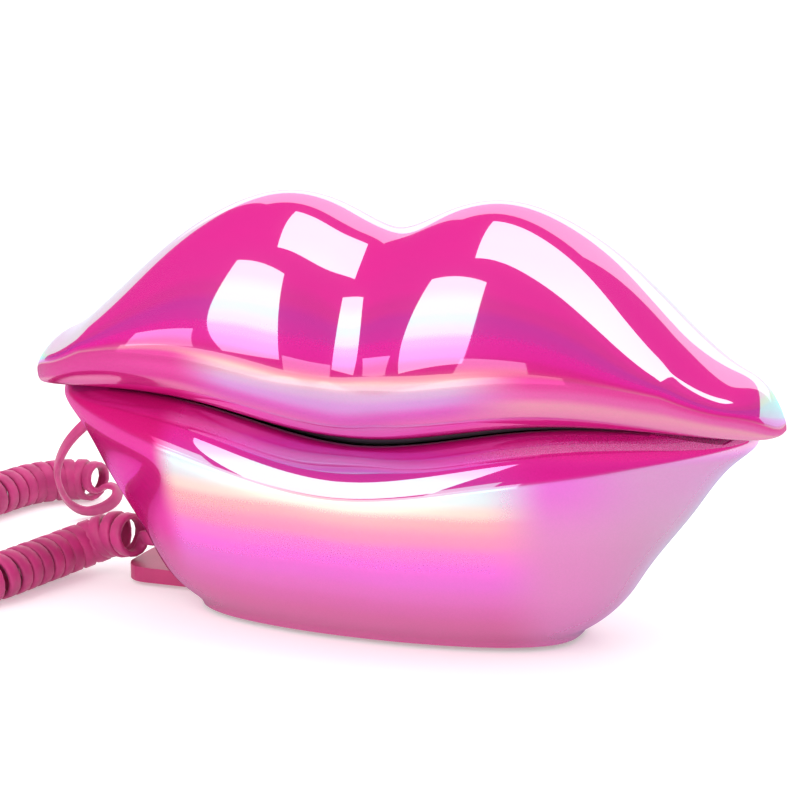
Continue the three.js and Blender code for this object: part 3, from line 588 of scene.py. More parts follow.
def plating_with_painted_reflections(name, colour, tints, ends, by_height=False):
    """Pink base under a mirror-smooth pearl coating whose tint turns with the surface's tilt or
    height; the tints are partly the coating's pearl colours and partly painted reflection colour and
    painted shade, with painted shade taking over towards the lips' ends."""
    material, tree, shader = new_finish(name)
    parts = add_node(tree, "ShaderNodeSeparateXYZ")
    tree.links.new(piece_space(tree), parts.inputs["Vector"])
    if by_height:
        place = ranged_from(tree, parts.outputs["Z"], 0, TINT_TOP)
    else:
        geometry = add_node(tree, "ShaderNodeNewGeometry")
        tilts = add_node(tree, "ShaderNodeSeparateXYZ")
        tree.links.new(geometry.outputs["Normal"], tilts.inputs["Vector"])
        place = ranged_from(tree, tilts.outputs["Z"], -1, 1)
    wander = ranged(tree, noise(tree, 45.0, 1.0), -TINT_WANDER, TINT_WANDER)
    tilt = add_node(tree, "ShaderNodeMath", operation="ADD")
    tree.links.new(place, tilt.inputs[0])
    tree.links.new(wander, tilt.inputs[1])
    # The mirror's tint: pearl colour together with painted reflection colour and painted shade
    tint = ramp(tree, tilt.outputs[0], tints)
    # Painted shade and reflection colour take over towards the lips' ends
    for start, full, top, painted_end_tints in ends:
        across = smooth_step(tree, parts.outputs["X"], start, full)
        below = smooth_step(tree, tilt.outputs[0], top + TINT_BLEND, top - TINT_BLEND)
        blend = add_node(tree, "ShaderNodeMix", data_type="RGBA")
        tree.links.new(product(tree, across, below), blend.inputs["Factor"])
        tree.links.new(tint, blend.inputs["A"])
        tree.links.new(ramp(tree, tilt.outputs[0], painted_end_tints), blend.inputs["B"])
        tint = blend.outputs["Result"]
    mirror = add_node(tree, "ShaderNodeBsdfAnisotropic", {"Roughness": MIRROR_ROUGHNESS})
    tree.links.new(tint, mirror.inputs["Color"])
    edge = add_node(tree, "ShaderNodeFresnel", {"IOR": MIRROR_IOR})
    share = ranged(tree, edge.outputs["Fac"], MIRROR_LEAST, 1.0)
    mix = add_node(tree, "ShaderNodeMixShader")
    tree.links.new(share, mix.inputs["Fac"])
    tree.links.new(shader.outputs["BSDF"], mix.inputs[1])
    tree.links.new(mirror.outputs["BSDF"], mix.inputs[2])
    output = next(n for n in tree.nodes if n.type == "OUTPUT_MATERIAL")
    tree.links.new(mix.outputs["Shader"], output.inputs["Surface"])
    fleck = noise(tree, 0.5)
    tones = ramp(tree, fleck, [(0.3, shaded(colour, 0.95)), (0.7, shaded(colour, 1.05))])
    tree.links.new(tones, shader.inputs["Base Color"])
    shader.inputs["Roughness"].default_value = 0.25
    return material


FLOOR_GLOW = (0.34, 0.84)          # the floor's own glow away from the painted patch of light in front, and in it
GLOW_AHEAD = (-0.07, -0.135)       # where the patch starts and is full, in metres
GLOW_RIGHT_EDGE = (0.09, -0.01)
GLOW_LEFT_EDGE = (-0.30, -0.15)


def studio_floor(name, colour):
    """Pale floor that glows a little by its own emission, with a painted patch of brighter light in
    front of the telephone's left half.
    """
    material, tree, shader = new_finish(name)
    cloud = noise(tree, 300.0)
    tones = ramp(tree, cloud, [(0.3, shaded(colour, 0.995)), (0.7, colour)])
    tree.links.new(tones, shader.inputs["Base Color"])
    parts = add_node(tree, "ShaderNodeSeparateXYZ")
    tree.links.new(piece_space(tree), parts.inputs["Vector"])
    ahead = smooth_step(tree, parts.outputs["Y"], *GLOW_AHEAD)
    left = smooth_step(tree, parts.outputs["X"], *GLOW_RIGHT_EDGE)
    inside = smooth_step(tree, parts.outputs["X"], *GLOW_LEFT_EDGE)
    painted_light_patch = product(tree, product(tree, ahead, left), inside)
    tree.links.new(ranged(tree, painted_light_patch, *FLOOR_GLOW), shader.inputs["Emission Strength"])
    shader.inputs["Emission Color"].default_value = (1, 1, 1, 1)
    shader.inputs["Roughness"].default_value = 0.9
    return material


FINISHES = {}


def finish(name):
    """The named finish, made once."""
    if name in FINISHES:
        return FINISHES[name]
    tones = bpy.context.scene.lips_phone_colours
    makers = {
        "upper plating": lambda: plating_with_painted_reflections("upper_plating_painted_reflections", tones.plating, UPPER_PEARL_AND_PAINTED_REFLECTION_TINTS,
                                                UPPER_PAINTED_SHADE_ENDS),
        "lower plating": lambda: plating_with_painted_reflections("lower_plating_painted_shade_and_reflections", tones.plating, LOWER_PEARL_AND_PAINTED_SHADE_TINTS,
                                                LOWER_PAINTED_SHADE_AND_REFLECTION_ENDS, True),
        "pink plastic": lambda: moulded("pink_plastic", tones.foot, 0.42, 0.4, 0.03),
        "black plastic": lambda: moulded("black_plastic", tones.faceplate, 0.38, 0.35, 0.03),
        "dark plastic": lambda: moulded("dark_plastic", shaded(tones.faceplate, 2.2), 0.5, 0.4, 0.03),
        "key plastic": lambda: moulded("key_plastic", tones.keys, 0.32, 0.3, 0.01, 0.03),
        "legend ink": lambda: moulded("legend_ink", tones.legends, 0.55, 0.15, 0.01),
        "plunger plastic": lambda: moulded("plunger_plastic", shaded(tones.keys, 0.9), 0.4, 0.3, 0.01),
        "plug plastic": lambda: clear_plug("plug_plastic", (0.92, 0.95, 0.97)),
        "pad rubber": lambda: moulded("pad_rubber", (0.03, 0.03, 0.032), 0.85, 0.2, 0.05),
        "mat rubber": lambda: moulded("mat_rubber", (0.10, 0.10, 0.11), 0.8, 0.3, 0.05),
        "gasket rubber": lambda: moulded("gasket_rubber", (0.02, 0.02, 0.022), 0.9, 0.2, 0.05),
        "screw steel": lambda: moulded("screw_steel", (0.62, 0.64, 0.66), 0.28, 0.15, 0.01, 0.1, 1.0),
        "brass contact": lambda: moulded("brass_contact", (0.80, 0.58, 0.24), 0.25, 0.2, 0.01, 0.1, 1.0),
        "ballast steel": lambda: brushed("ballast_steel", (0.42, 0.43, 0.45), 0.45, (40, 4000, 4000)),
        "capsule metal": lambda: brushed("capsule_metal", (0.28, 0.28, 0.30), 0.35, (3000, 3000, 60)),
        "circuit board": lambda: board_green("circuit_board", (0.016, 0.15, 0.045)),
        "cord jacket": lambda: cord_jacket("cord_jacket", tones.cord),
        "studio floor": lambda: studio_floor("studio_floor", tones.floor),
    }
    FINISHES[name] = makers[name]()
    return FINISHES[name]


# ---------------------------------------------------------------- settings

def colour_setting(name, description, default):
    return bpy.props.FloatVectorProperty(name=name, description=description, subtype="COLOR",
                                         size=3, min=0, max=1, default=default)


class LipsPhoneColours(bpy.types.PropertyGroup):
    plating: colour_setting("Plating", "Pink under the pearl coating", (0.80, 0.010, 0.27))
    foot: colour_setting("Base plate", "Unplated pink of the base plate and its side foot",
                         (0.42, 0.022, 0.13))
    cord: colour_setting("Cord", "Jacket of the curly cord", (0.45, 0.027, 0.165))
    faceplate: colour_setting("Faceplate", "Black of the faceplate and the cradle",
                              (0.010, 0.010, 0.012))
    keys: colour_setting("Keys", "Key caps", (0.82, 0.81, 0.84))
    legends: colour_setting("Legends", "Numbers on the keys", (0.03, 0.03, 0.035))
    floor: colour_setting("Floor", "Studio floor", (0.80, 0.80, 0.80))


class LipsPhoneSizes(bpy.types.PropertyGroup):
    shell_rows: bpy.props.IntProperty(
        name="Shell rows", description="How finely the plated shells are cut from end to end",
        default=241, min=41, max=601)
    ribbon_width: bpy.props.FloatProperty(
        name="Ribbon width", description="Width of the flat cord", default=4.1 * MM,
        min=2 * MM, max=6 * MM, unit="LENGTH")
    ribbon_thickness: bpy.props.FloatProperty(
        name="Ribbon thickness", description="Thickness of the flat cord", default=1.75 * MM,
        min=1 * MM, max=3 * MM, unit="LENGTH")
    coil_pitch: bpy.props.FloatProperty(
        name="Coil pitch", description="Distance from one turn of the coil to the next",
        default=4.45 * MM, min=3 * MM, max=12 * MM, unit="LENGTH")
    lens: bpy.props.FloatProperty(
        name="Lens", description="Focal length of the studio camera", default=112.0, min=20,
        max=300, unit="CAMERA")


# ---------------------------------------------------------------- stage

class LIPSPHONE_OT_stage(bpy.types.Operator):
    """Camera, pale floor and soft studio light"""
    bl_idname = "lips_phone.stage"
    bl_label = "Studio"

    def execute(self, context):
        make_camera(context.scene)
        make_floor()
        make_world(context.scene)
        make_lights()
        context.scene.view_settings.view_transform = "Standard"
        return {"FINISHED"}


CAMERA_TARGET = (1.84, 0, 61.24)   # millimetres
CAMERA_AWAY = 678.25
CAMERA_ACROSS = 20.6               # degrees to the right of straight ahead
CAMERA_UP = 12.48
SENSOR_WIDTH = 36
NEAR_CLIP = 0.01
FAR_CLIP = 50


def make_camera(scene):
    data = bpy.data.cameras.new("studio_camera")
    data.lens, data.sensor_width = scene.lips_phone_sizes.lens, SENSOR_WIDTH
    data.clip_start, data.clip_end = NEAR_CLIP, FAR_CLIP
    camera = bpy.data.objects.new("studio_camera", data)
    scene.collection.objects.link(camera)
    target, away = Vector(CAMERA_TARGET) * MM, CAMERA_AWAY * MM
    across, up = math.radians(CAMERA_ACROSS), math.radians(CAMERA_UP)
    out = Vector((math.sin(across) * math.cos(up), -math.cos(across) * math.cos(up), math.sin(up)))
    camera.location = target + out * away
    camera.rotation_euler = (-out).to_track_quat("-Z", "Y").to_euler()
    scene.camera = camera


FLOOR_HALF = 3000        # millimetres
FLOOR_FLAT_TO = 1200
BACKDROP_R = 600
BACKDROP_STEPS = 24
BACKDROP_TOP = 900


def make_floor():
    """A broad floor that curves up behind into a backdrop."""
    profile = [(-FLOOR_HALF, 0), (FLOOR_FLAT_TO, 0)]
    for i in range(1, BACKDROP_STEPS + 1):
        a = math.radians(90 * i / BACKDROP_STEPS)
        profile.append((FLOOR_FLAT_TO + BACKDROP_R * math.sin(a), BACKDROP_R * (1 - math.cos(a))))
    profile.append((FLOOR_FLAT_TO + BACKDROP_R, BACKDROP_TOP))
    points = [(x, y, z) for x in (-FLOOR_HALF, FLOOR_HALF) for y, z in profile]
    count = len(profile)
    faces = [(i, i + 1, count + i + 1, count + i) for i in range(count - 1)]
    floor = mesh_piece("studio_floor", points, faces)
    for face in floor.data.polygons:
        face.use_smooth = True
    floor.data.materials.append(finish("studio floor"))


def make_world(scene):
    """White all round for the camera and soft fill, with a dim room for reflections."""
    world = bpy.data.worlds.new("studio_world")
    world.use_nodes = True
    tree = world.node_tree
    background = next(n for n in tree.nodes if n.type == "BACKGROUND")
    coordinates = add_node(tree, "ShaderNodeTexCoord")
    parts = add_node(tree, "ShaderNodeSeparateXYZ")
    tree.links.new(coordinates.outputs["Generated"], parts.inputs["Vector"])
    room = ramp(tree, ranged_from(tree, parts.outputs["Z"], -1, 1), [
        (0.0, (0.9, 0.9, 0.9)), (0.495, (1.0, 0.6, 0.75)), (0.515, (0.95, 0.25, 0.50)),
        (0.57, (1.0, 0.05, 0.36)), (1.0, (1.0, 0.05, 0.36))])
    path = add_node(tree, "ShaderNodeLightPath")
    fill = ramp(tree, path.outputs["Is Camera Ray"], [(0, (0.9, 0.9, 0.9)), (1, (1, 1, 1))])
    choose = add_node(tree, "ShaderNodeMix", data_type="RGBA")
    tree.links.new(path.outputs["Is Glossy Ray"], choose.inputs["Factor"])
    tree.links.new(fill, choose.inputs["A"])
    tree.links.new(room, choose.inputs["B"])
    tree.links.new(choose.outputs["Result"], background.inputs["Color"])
    background.inputs["Strength"].default_value = 1.0
    scene.world = world


# name, middle, the point it faces, width and height, lean in degrees, brightness
SOFTBOXES = [
    ("window_softbox", (-0.53, -0.99, 0.90), (0.0, 0.0, 0.06), (0.80, 1.50), 14.6, 1.6),
    ("overhead_softbox", (0.425, 0.20, 1.25), (0.425, 0.20, 0.0), (1.35, 0.76), 0, 1.9),
    ("back_softbox", (-0.28, 1.75, 1.15), (-0.28, 0.0, 1.15), (2.35, 2.2), 0, 0.75),
    ("low_card", (-0.17, -0.42, 0.0525), (0.01, 0.0, 0.0525), (0.74, 0.105), 0, 0.9),
    ("left_card", (-0.475, -0.366, 0.175), (0.0, 0.0, 0.175), (0.19, 0.15), 12, 0.9),
    ("right_card", (0.020, -0.600, 0.175), (0.0, 0.0, 0.175), (0.16, 0.13), 0, 0.8),
]


def make_lights():
    for name, middle, aim, (width, height), lean, brightness in SOFTBOXES:
        data = bpy.data.lights.new(name, "AREA")
        data.shape, data.size, data.size_y = "RECTANGLE", width, height
        data.energy = brightness * math.pi * width * height
        light = bpy.data.objects.new(name, data)
        bpy.context.scene.collection.objects.link(light)
        light.location = middle
        facing = Vector(aim) - Vector(middle)
        light.visible_camera = False
        turned = facing.to_track_quat("-Z", "Y") @ Quaternion((0, 0, 1), math.radians(lean))
        light.rotation_euler = turned.to_euler()


# ---------------------------------------------------------------- curly cord

COIL_START_X = -77.6
COIL_ROUTE = [
    [-73.6, 6, CORD_Z], [COIL_START_X - 0.3, 6, CORD_Z], [COIL_START_X - 5, 6, CORD_Z],
    [-91, 9, CORD_Z - 0.7], [-98, 8.5, FLOOR_Z + 2.2], [-103, 2, FLOOR_Z + 0.5],
    [-107, -13, FLOOR_Z], [-111, -30, FLOOR_Z], [-122, -45, FLOOR_Z], [-143, -48, FLOOR_Z],
    [-160, -33, FLOOR_Z], [-166, -6, FLOOR_Z], [-163, 24, FLOOR_Z], [-157, 50, FLOOR_Z],
    [-151, 72, FLOOR_Z], [-140, 81, FLOOR_Z], [-129, 78, FLOOR_Z],
]
TAIL_ROUTE = [
    [-124.5, 76.3, FLOOR_Z - 0.8], [-122.6, 71.5, 4.2], [-124.3, 65.5, 2.5],
    [-127.7, 59.7, 2.8], [-130, 54.5, 6.5], [-130, 49, 12.5], [-128, 43.5, 20],
    [-122, 39, 29.5], [-114, 38, 37.5], [-103, 41, 46], [-92, 46, 57], [-81, 49, 68],
]
CORD_STEP = 0.15        # between points along the middle of the coil and tail
CORD_SPACING = 1.5      # least distance between the points that are kept
COIL_BEGIN = 4.5        # from the plug to where the turns start to open
COIL_RISE = 7.0         # over which they open
COIL_FALL = 9.0         # over which they close again
COIL_END_PAST = 1.5     # past the coil's route to where they are closed
TURNING_POWER = 1.5     # how late the turning starts as the turns open
SLACK_WAVES = [(0.10, 31.0, 0), (0.05, 11.0, 1)]   # uneven pitch: share, wave length, start
BEND_REACH = 40         # steps to each side over which the tail's bend is read
BEND_TURN = 0.02        # how fast the tail's flat side turns to the inside of its bends


def flowing(points, step):
    """Evenly spaced points on a smooth line through the given ones."""
    points = np.array(points, float)
    guides = np.vstack([2 * points[0] - points[1], points, 2 * points[-1] - points[-2]])
    line = []
    for i in range(len(points) - 1):
        p0, p1, p2, p3 = guides[i:i + 4]
        k0, k1, k2 = [max(np.linalg.norm(b - a), 1e-6) ** 0.5 for a, b in
                      ((p0, p1), (p1, p2), (p2, p3))]
        m1 = ((p1 - p0) / k0 - (p2 - p0) / (k0 + k1) + (p2 - p1) / k1) * k1
        m2 = ((p2 - p1) / k1 - (p3 - p1) / (k1 + k2) + (p3 - p2) / k2) * k1
        for s in np.linspace(0, 1, SECTION_STEPS, endpoint=False):
            line.append((2 * s ** 3 - 3 * s ** 2 + 1) * p1 + (s ** 3 - 2 * s ** 2 + s) * m1
                        + (3 * s ** 2 - 2 * s ** 3) * p2 + (s ** 3 - s ** 2) * m2)
    line.append(points[-1])
    line = np.array(line)
    length = np.linalg.norm(np.diff(line, axis=0), axis=1).sum()
    return evenly(line, int(length / step) + 1)


def carried_frames(line):
    """Directions along, and two across that don't twist, at each point of a line."""
    along = np.gradient(line, axis=0)
    along /= np.linalg.norm(along, axis=1)[:, None]
    across = np.zeros_like(along)
    side = np.cross(along[0], [0, 0, 1.0])
    for i, direction in enumerate(along):
        side = side - direction * side.dot(direction)
        side /= np.linalg.norm(side)
        across[i] = side
    return along, across, np.cross(along, across)


def curly_line(pitch, ribbon_t, plug_end):
    """The cord's own centre line and the direction its flat side faces, at each point."""
    route = COIL_ROUTE + TAIL_ROUTE + [plug_end + np.array([0, 7, 0]), plug_end]
    axis_line, coil_only = flowing(route, CORD_STEP), flowing(COIL_ROUTE, CORD_STEP)
    reach = np.arange(len(axis_line)) * CORD_STEP
    end = (len(coil_only) - 1) * CORD_STEP + COIL_END_PAST
    rise = np.clip((reach - COIL_BEGIN) / COIL_RISE, 0, 1)
    fall = np.clip((end - reach) / COIL_FALL, 0, 1)
    swell = np.minimum(rise * rise * (3 - 2 * rise), fall * fall * (3 - 2 * fall))
    slack = 1.0
    for share, wave, start in SLACK_WAVES:
        slack = slack + share * np.sin(reach / wave + start)
    turning = 2 * math.pi / (pitch * slack) * swell ** TURNING_POWER
    angle = np.cumsum(turning) * CORD_STEP
    along, across, up = carried_frames(axis_line)
    radius = (COIL_R - ribbon_t / 2) * swell
    outwards = across * np.cos(angle)[:, None] + up * np.sin(angle)[:, None]
    line = axis_line + outwards * radius[:, None]
    tail = int(end / CORD_STEP)
    for i in range(tail, len(line) - BEND_REACH):
        bend = axis_line[i + BEND_REACH] + axis_line[i - BEND_REACH] - 2 * axis_line[i]
        bend *= math.copysign(1, bend.dot(outwards[i - 1])) / max(np.linalg.norm(bend), 1e-9)
        turned = outwards[i - 1] + BEND_TURN * bend
        turned -= along[i] * turned.dot(along[i])
        outwards[i] = turned / np.linalg.norm(turned)
    outwards[-BEND_REACH:] = outwards[-BEND_REACH - 1]
    keep = [0]
    for i in range(1, len(line)):
        if np.linalg.norm(line[i] - line[keep[-1]]) > CORD_SPACING:
            keep.append(i)
    keep[-1] = len(line) - 1
    return line[keep], outwards[keep]


def ribbon_mesh(name, line, facing, width, thickness, sides=12):
    """A flat cord with round edges along a line, its flat side facing the given way."""
    along = np.gradient(line, axis=0)
    along /= np.linalg.norm(along, axis=1)[:, None]
    face = facing - along * np.sum(facing * along, axis=1)[:, None]
    face /= np.linalg.norm(face, axis=1)[:, None]
    side = np.cross(along, face)
    half, flat = thickness / 2, width / 2 - thickness / 2
    section = []
    for i in range(sides):
        a = 2 * math.pi * (i + 0.5) / sides
        section.append((math.copysign(flat, math.cos(a)) + half * math.cos(a), half * math.sin(a)))
    points, faces = [], []
    for centre, s, f in zip(line, side, face):
        points += [centre + s * u + f * w for u, w in section]
    count = len(line)
    faces += grid_faces(count, sides, True)
    faces += [tuple(range(sides))[::-1], tuple(range((count - 1) * sides, count * sides))]
    return mesh_piece(name, points, faces)


class LIPSPHONE_OT_cord(bpy.types.Operator):
    """Curly cord with its straight tail"""
    bl_idname = "lips_phone.cord"
    bl_label = "Curly cord"

    def execute(self, context):
        sizes = context.scene.lips_phone_sizes
        width, thick = sizes.ribbon_width / MM, sizes.ribbon_thickness / MM
        low, high = frame_box("handset_cord_plug")
        plug_end = np.array([(low[0] + high[0]) / 2, high[1] + CLEAR, (low[2] + high[2]) / 2])
        line, facing = curly_line(sizes.coil_pitch / MM, thick, plug_end)
        cord = tidied(ribbon_mesh("handset_cord", line, facing, width, thick), 0.001, 60)
        cord.data.materials.append(finish("cord jacket"))
        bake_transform(cord)
        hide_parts("cord_lead_in", "cord_coil", "cord_tail")
        return {"FINISHED"}


# ---------------------------------------------------------------- plated shells

def upper_shell_mesh(rows):
    """The upper lip's shell: outer skin, rim, and the inner skin as far as it is hollow."""
    outer_count, inner_count = OUTER_POINTS, INNER_POINTS
    turns = np.linspace(-math.pi / 2, math.pi / 2, rows)
    skins, inners = [], []
    for turn in turns:
        t = math.sin(turn)
        c = math.sqrt(max(0.0, 1 - t * t))
        skin = upper_section(t, 0, outer_count)
        skins.append(np.column_stack([np.full(outer_count, t * HALF_W), skin]))
        if abs(t) <= HOLLOW_REACH and c > 0:
            inner = upper_section(t, WALL, inner_count)[::-1]
        else:
            share = np.linspace(0, 1, inner_count + 2)[1:-1, None]
            inner = skin[-1] + (skin[0] - skin[-1]) * share
        inners.append(np.column_stack([np.full(inner_count, t * HALF_W), inner]))
    skins = eased(np.array(skins), 14)
    skins = eased(skins.transpose(1, 0, 2), 6).transpose(1, 0, 2)
    inners = np.array(inners)
    inners[:, 0, 2], inners[:, -1, 2] = skins[:, -1, 2], skins[:, 0, 2]
    loops = np.concatenate([skins, inners], axis=1)
    columns = loops.shape[1]
    faces = grid_faces(rows, columns, True)
    piece = mesh_piece("upper_lip_plated", loops.reshape(-1, 3), faces)
    return tidied(piece, 0.01, 38)


def lower_shell_mesh(rows):
    """The lower lip's shell: outer skin, flat rim, inner skin."""
    angles = np.linspace(0, 2 * math.pi, rows * 2, endpoint=False)
    heights = np.linspace(0, 1, LOWER_ROWS)
    outer = np.array([lower_outline(v, angles, 0) for v in heights])
    outer = eased(outer.transpose(1, 0, 2), 8).transpose(1, 0, 2)
    inner = np.array([lower_outline(v, angles, WALL) for v in heights[::-INNER_EVERY]])
    loops = np.concatenate([outer, inner])
    count, around = loops.shape[:2]
    points = loops.reshape(-1, 3)
    faces = grid_faces(count, around, True)
    faces += [((count - 1) * around + i, (count - 1) * around + (i + 1) % around,
               (i + 1) % around, i) for i in range(around)]
    piece = mesh_piece("lower_lip_plated", points, faces)
    return tidied(piece, 0.01, 38)


def room_for(node, grow, reach=None):
    """A cutting block round a frame node, with one side carried out."""
    low, high = frame_box(node)
    low, high = [c - grow for c in low], [c + grow for c in high]
    if reach:
        index, value = reach
        (low if value < 0 else high)[index] += value
    outline = round_outline((low[0] + high[0]) / 2, (low[1] + high[1]) / 2,
                            high[0] - low[0], high[1] - low[1], 0.3, 2)
    return slab("room", outline, low[2], high[2])


class LIPSPHONE_OT_upper_shell(bpy.types.Operator):
    """Plated upper lip, the handset's shell"""
    bl_idname = "lips_phone.upper_shell"
    bl_label = "Upper lip"

    def execute(self, context):
        shell = upper_shell_mesh(context.scene.lips_phone_sizes.shell_rows)
        cut(shell, [room_for("handset_cord_jack", CLEAR, (1, JACK_REACH))])
        tidied(shell, 0.002, 38)
        finish_piece(shell, "handset", "plated_pink", finish("upper plating"),
                     "upper_lip_shell")
        return {"FINISHED"}


class LIPSPHONE_OT_lower_shell(bpy.types.Operator):
    """Plated lower lip, the base's shell"""
    bl_idname = "lips_phone.lower_shell"
    bl_label = "Lower lip"

    def execute(self, context):
        shell = lower_shell_mesh(context.scene.lips_phone_sizes.shell_rows)
        low, _ = frame_box("base_plate")
        outline = round_outline((low[0] + FOOT_END_X) / 2, FOOT_MIDDLE_Y,
                                FOOT_END_X - low[0] + FOOT_ROOM_GROW, FOOT_ROOM_D, FOOT_ROOM_R)
        tools = [room_for("line_jack", CLEAR, (1, JACK_REACH)),
                 room_for("base_cord_jack", CLEAR, (0, -JACK_REACH)),
                 slab("foot_room", outline, *FOOT_ROOM_Z)]
        for knob in ("ringer_switch_knob", "dial_mode_switch_knob"):
            tools.append(room_for(knob, CLEAR, (0, KNOB_REACH)))
        cut(shell, tools)
        tidied(shell, 0.002, 38)
        finish_piece(shell, "base", "plated_pink", finish("lower plating"), "lower_lip_shell")
        return {"FINISHED"}


# ---------------------------------------------------------------- faceplate and keys

def rim_line(inset, reach, count):
    """Front and back lines of the handset's rim, set in, as rows of (x, front, back)."""
    rows = []
    for x in np.linspace(-reach, reach, count):
        front, back = upper_rim(x / HALF_W)
        rows.append((x, front + inset, back - inset))
    return rows


def ring_outline(inset, reach, count=121):
    rows = rim_line(inset, reach, count)
    return [(x, f) for x, f, _ in rows] + [(x, b) for x, _, b in rows[::-1]]


def faceplate_mesh():
    """Skirt that follows the mouth line, with the flat panel that carries the keys."""
    reach = SKIRT_END * HALF_W
    outer, inner = ring_outline(SKIRT_INSET, reach), ring_outline(SKIRT_INSET + SKIRT_T,
                                                                  reach - SKIRT_T)
    count = len(outer)
    points = []
    top = SKIRT_TOP_Z - SKIRT_PAST
    for outline, height in ((outer, None), (outer, top), (inner, top), (inner, None)):
        for x, y in outline:
            z = float(seam_z(x) - strip_h(x)) if height is None else height
            points.append((x, y, z))
    faces = [(k * count + i, k * count + (i + 1) % count,
              ((k + 1) % 4) * count + (i + 1) % count, ((k + 1) % 4) * count + i)
             for k in range(4) for i in range(count)]
    skirt = mesh_piece("skirt", points, faces)
    panel = slab("panel", ring_outline(SKIRT_INSET + SKIRT_T / 2, reach - SKIRT_T / 2), FACE_Z,
                 FACE_Z + FACE_T)
    tidied(skirt)
    tidied(panel)
    step = skirt.modifiers.new("join", "BOOLEAN")
    step.operation, step.solver, step.object = "UNION", "EXACT", panel
    apply_modifiers(skirt)
    bpy.data.objects.remove(panel)
    skirt.name = "handset_underside"
    return skirt


class LIPSPHONE_OT_faceplate(bpy.types.Operator):
    """Black underside of the handset"""
    bl_idname = "lips_phone.faceplate"
    bl_label = "Faceplate"

    def execute(self, context):
        plate = faceplate_mesh()
        tools, low_z, high_z = [], FACE_Z - CUT_BELOW, FACE_Z + CUT_ABOVE
        for name in [key for row in KEY_ROWS for key in row]:
            x, y = key_centre(name)
            outline = round_outline(x, y, KEY_HOLE_W, KEY_HOLE_D, KEY_HOLE_R)
            tools.append(slab("key_hole", outline, low_z, high_z))
        for i in range(1, 5):
            low, high = frame_box(f"handset_screw_{i}")
            x, y = (low[0] + high[0]) / 2, (low[1] + high[1]) / 2
            tools.append(slab("screw_seat", circle(x, y, SCREW_SEAT_R), low_z,
                              FACE_Z + SCREW_SEAT_H))
            tools.append(slab("screw_hole", circle(x, y, SCREW_HOLE_R), low_z, high_z))
        for i in range(EAR_HOLES):
            a = math.radians(60 * i)
            r = EAR_RING_R if i < EAR_HOLES - 1 else 0
            spot = circle(EAR_X + r * math.cos(a), KEYPAD_Y + r * math.sin(a), EAR_HOLE_R,
                          SMALL_HOLE_STEPS)
            tools.append(slab("ear_hole", spot, low_z, high_z))
        for side in MIC_SIDES:
            spot = circle(MIC_X, KEYPAD_Y + side, MIC_HOLE_R, SMALL_HOLE_STEPS)
            tools.append(slab("mic_hole", spot, low_z, high_z))
        cut(plate, tools)
        tidied(plate, 0.002, 35)
        softened(plate, FACE_SOFTEN, 2)
        finish_piece(plate, "handset", "black_plastic", finish("black plastic"),
                     "handset_faceplate")
        return {"FINISHED"}


def key_centre(name):
    for row, names in enumerate(KEY_ROWS):
        if name in names:
            column = names.index(name)
            return (column - 2) * KEY_PITCH, KEYPAD_Y + (1 - row) * KEY_PITCH


def key_cap(name, x, y):
    """A key with a dished, rounded face below and a flange inside the handset."""
    low, high = frame_box(f"key_{name}")
    face_z, flange_z, top_z = low[2], high[2] - FLANGE_T, high[2]
    points, outlines = [], []
    for inset, lift in KEY_DISH:
        round_r = max(KEY_LEAST_R, KEY_R - inset)
        outline = round_outline(x, y, KEY_W - 2 * inset, KEY_D - 2 * inset, round_r, KEY_STEPS)
        outlines.append((outline, face_z + lift))
    flange = round_outline(x, y, FLANGE_W, FLANGE_D, FLANGE_R, KEY_STEPS)
    outlines.append((round_outline(x, y, KEY_W, KEY_D, KEY_R, KEY_STEPS), flange_z))
    outlines += [(flange, flange_z), (flange, top_z)]
    count = len(outlines[0][0])
    for outline, z in outlines:
        points += [(px, py, z) for px, py in outline]
    faces = grid_faces(len(outlines), count, True)
    faces += [tuple(range(count))[::-1],
              tuple(range((len(outlines) - 1) * count, len(outlines) * count))]
    return tidied(mesh_piece(f"key_cap_{name}", points, faces), 0.001, 40), face_z


def legend_mesh(name, x, y, face_z):
    """The key's number, as thin ink standing just proud of the dished face."""
    text = bpy.data.curves.new("legend", "FONT")
    text.body = LEGENDS.get(name, name)
    text.size, text.extrude = LEGEND_SIZE * MM, LEGEND_T * MM
    text.align_x, text.align_y = "CENTER", "CENTER"
    holder = bpy.data.objects.new("legend", text)
    bpy.context.scene.collection.objects.link(holder)
    turn = Matrix(((0, -1, 0), (-1, 0, 0), (0, 0, -1))).to_4x4()
    holder.matrix_world = Matrix.Translation(Vector((x, y, face_z + LEGEND_LIFT)) * MM) @ turn
    bpy.context.view_layer.update()
    graph = bpy.context.evaluated_depsgraph_get()
    mesh = bpy.data.meshes.new_from_object(holder.evaluated_get(graph))
    mesh.transform(holder.matrix_world)
    bpy.data.objects.remove(holder)
    legend = bpy.data.objects.new(f"legend_{name}", mesh)
    bpy.context.scene.collection.objects.link(legend)
    return legend


class LIPSPHONE_OT_keys(bpy.types.Operator):
    """Fifteen keys with their numbers"""
    bl_idname = "lips_phone.keys"
    bl_label = "Keys"

    def execute(self, context):
        for name in [key for row in KEY_ROWS for key in row]:
            x, y = key_centre(name)
            cap, face_z = key_cap(name, x, y)
            finish_piece(cap, f"key_{name}", "key_plastic", finish("key plastic"), f"key_{name}")
            legend = legend_mesh(name, x, y, face_z)
            finish_piece(legend, f"key_{name}", "key_plastic", finish("legend ink"))
        return {"FINISHED"}


# ---------------------------------------------------------------- the frame's own nodes

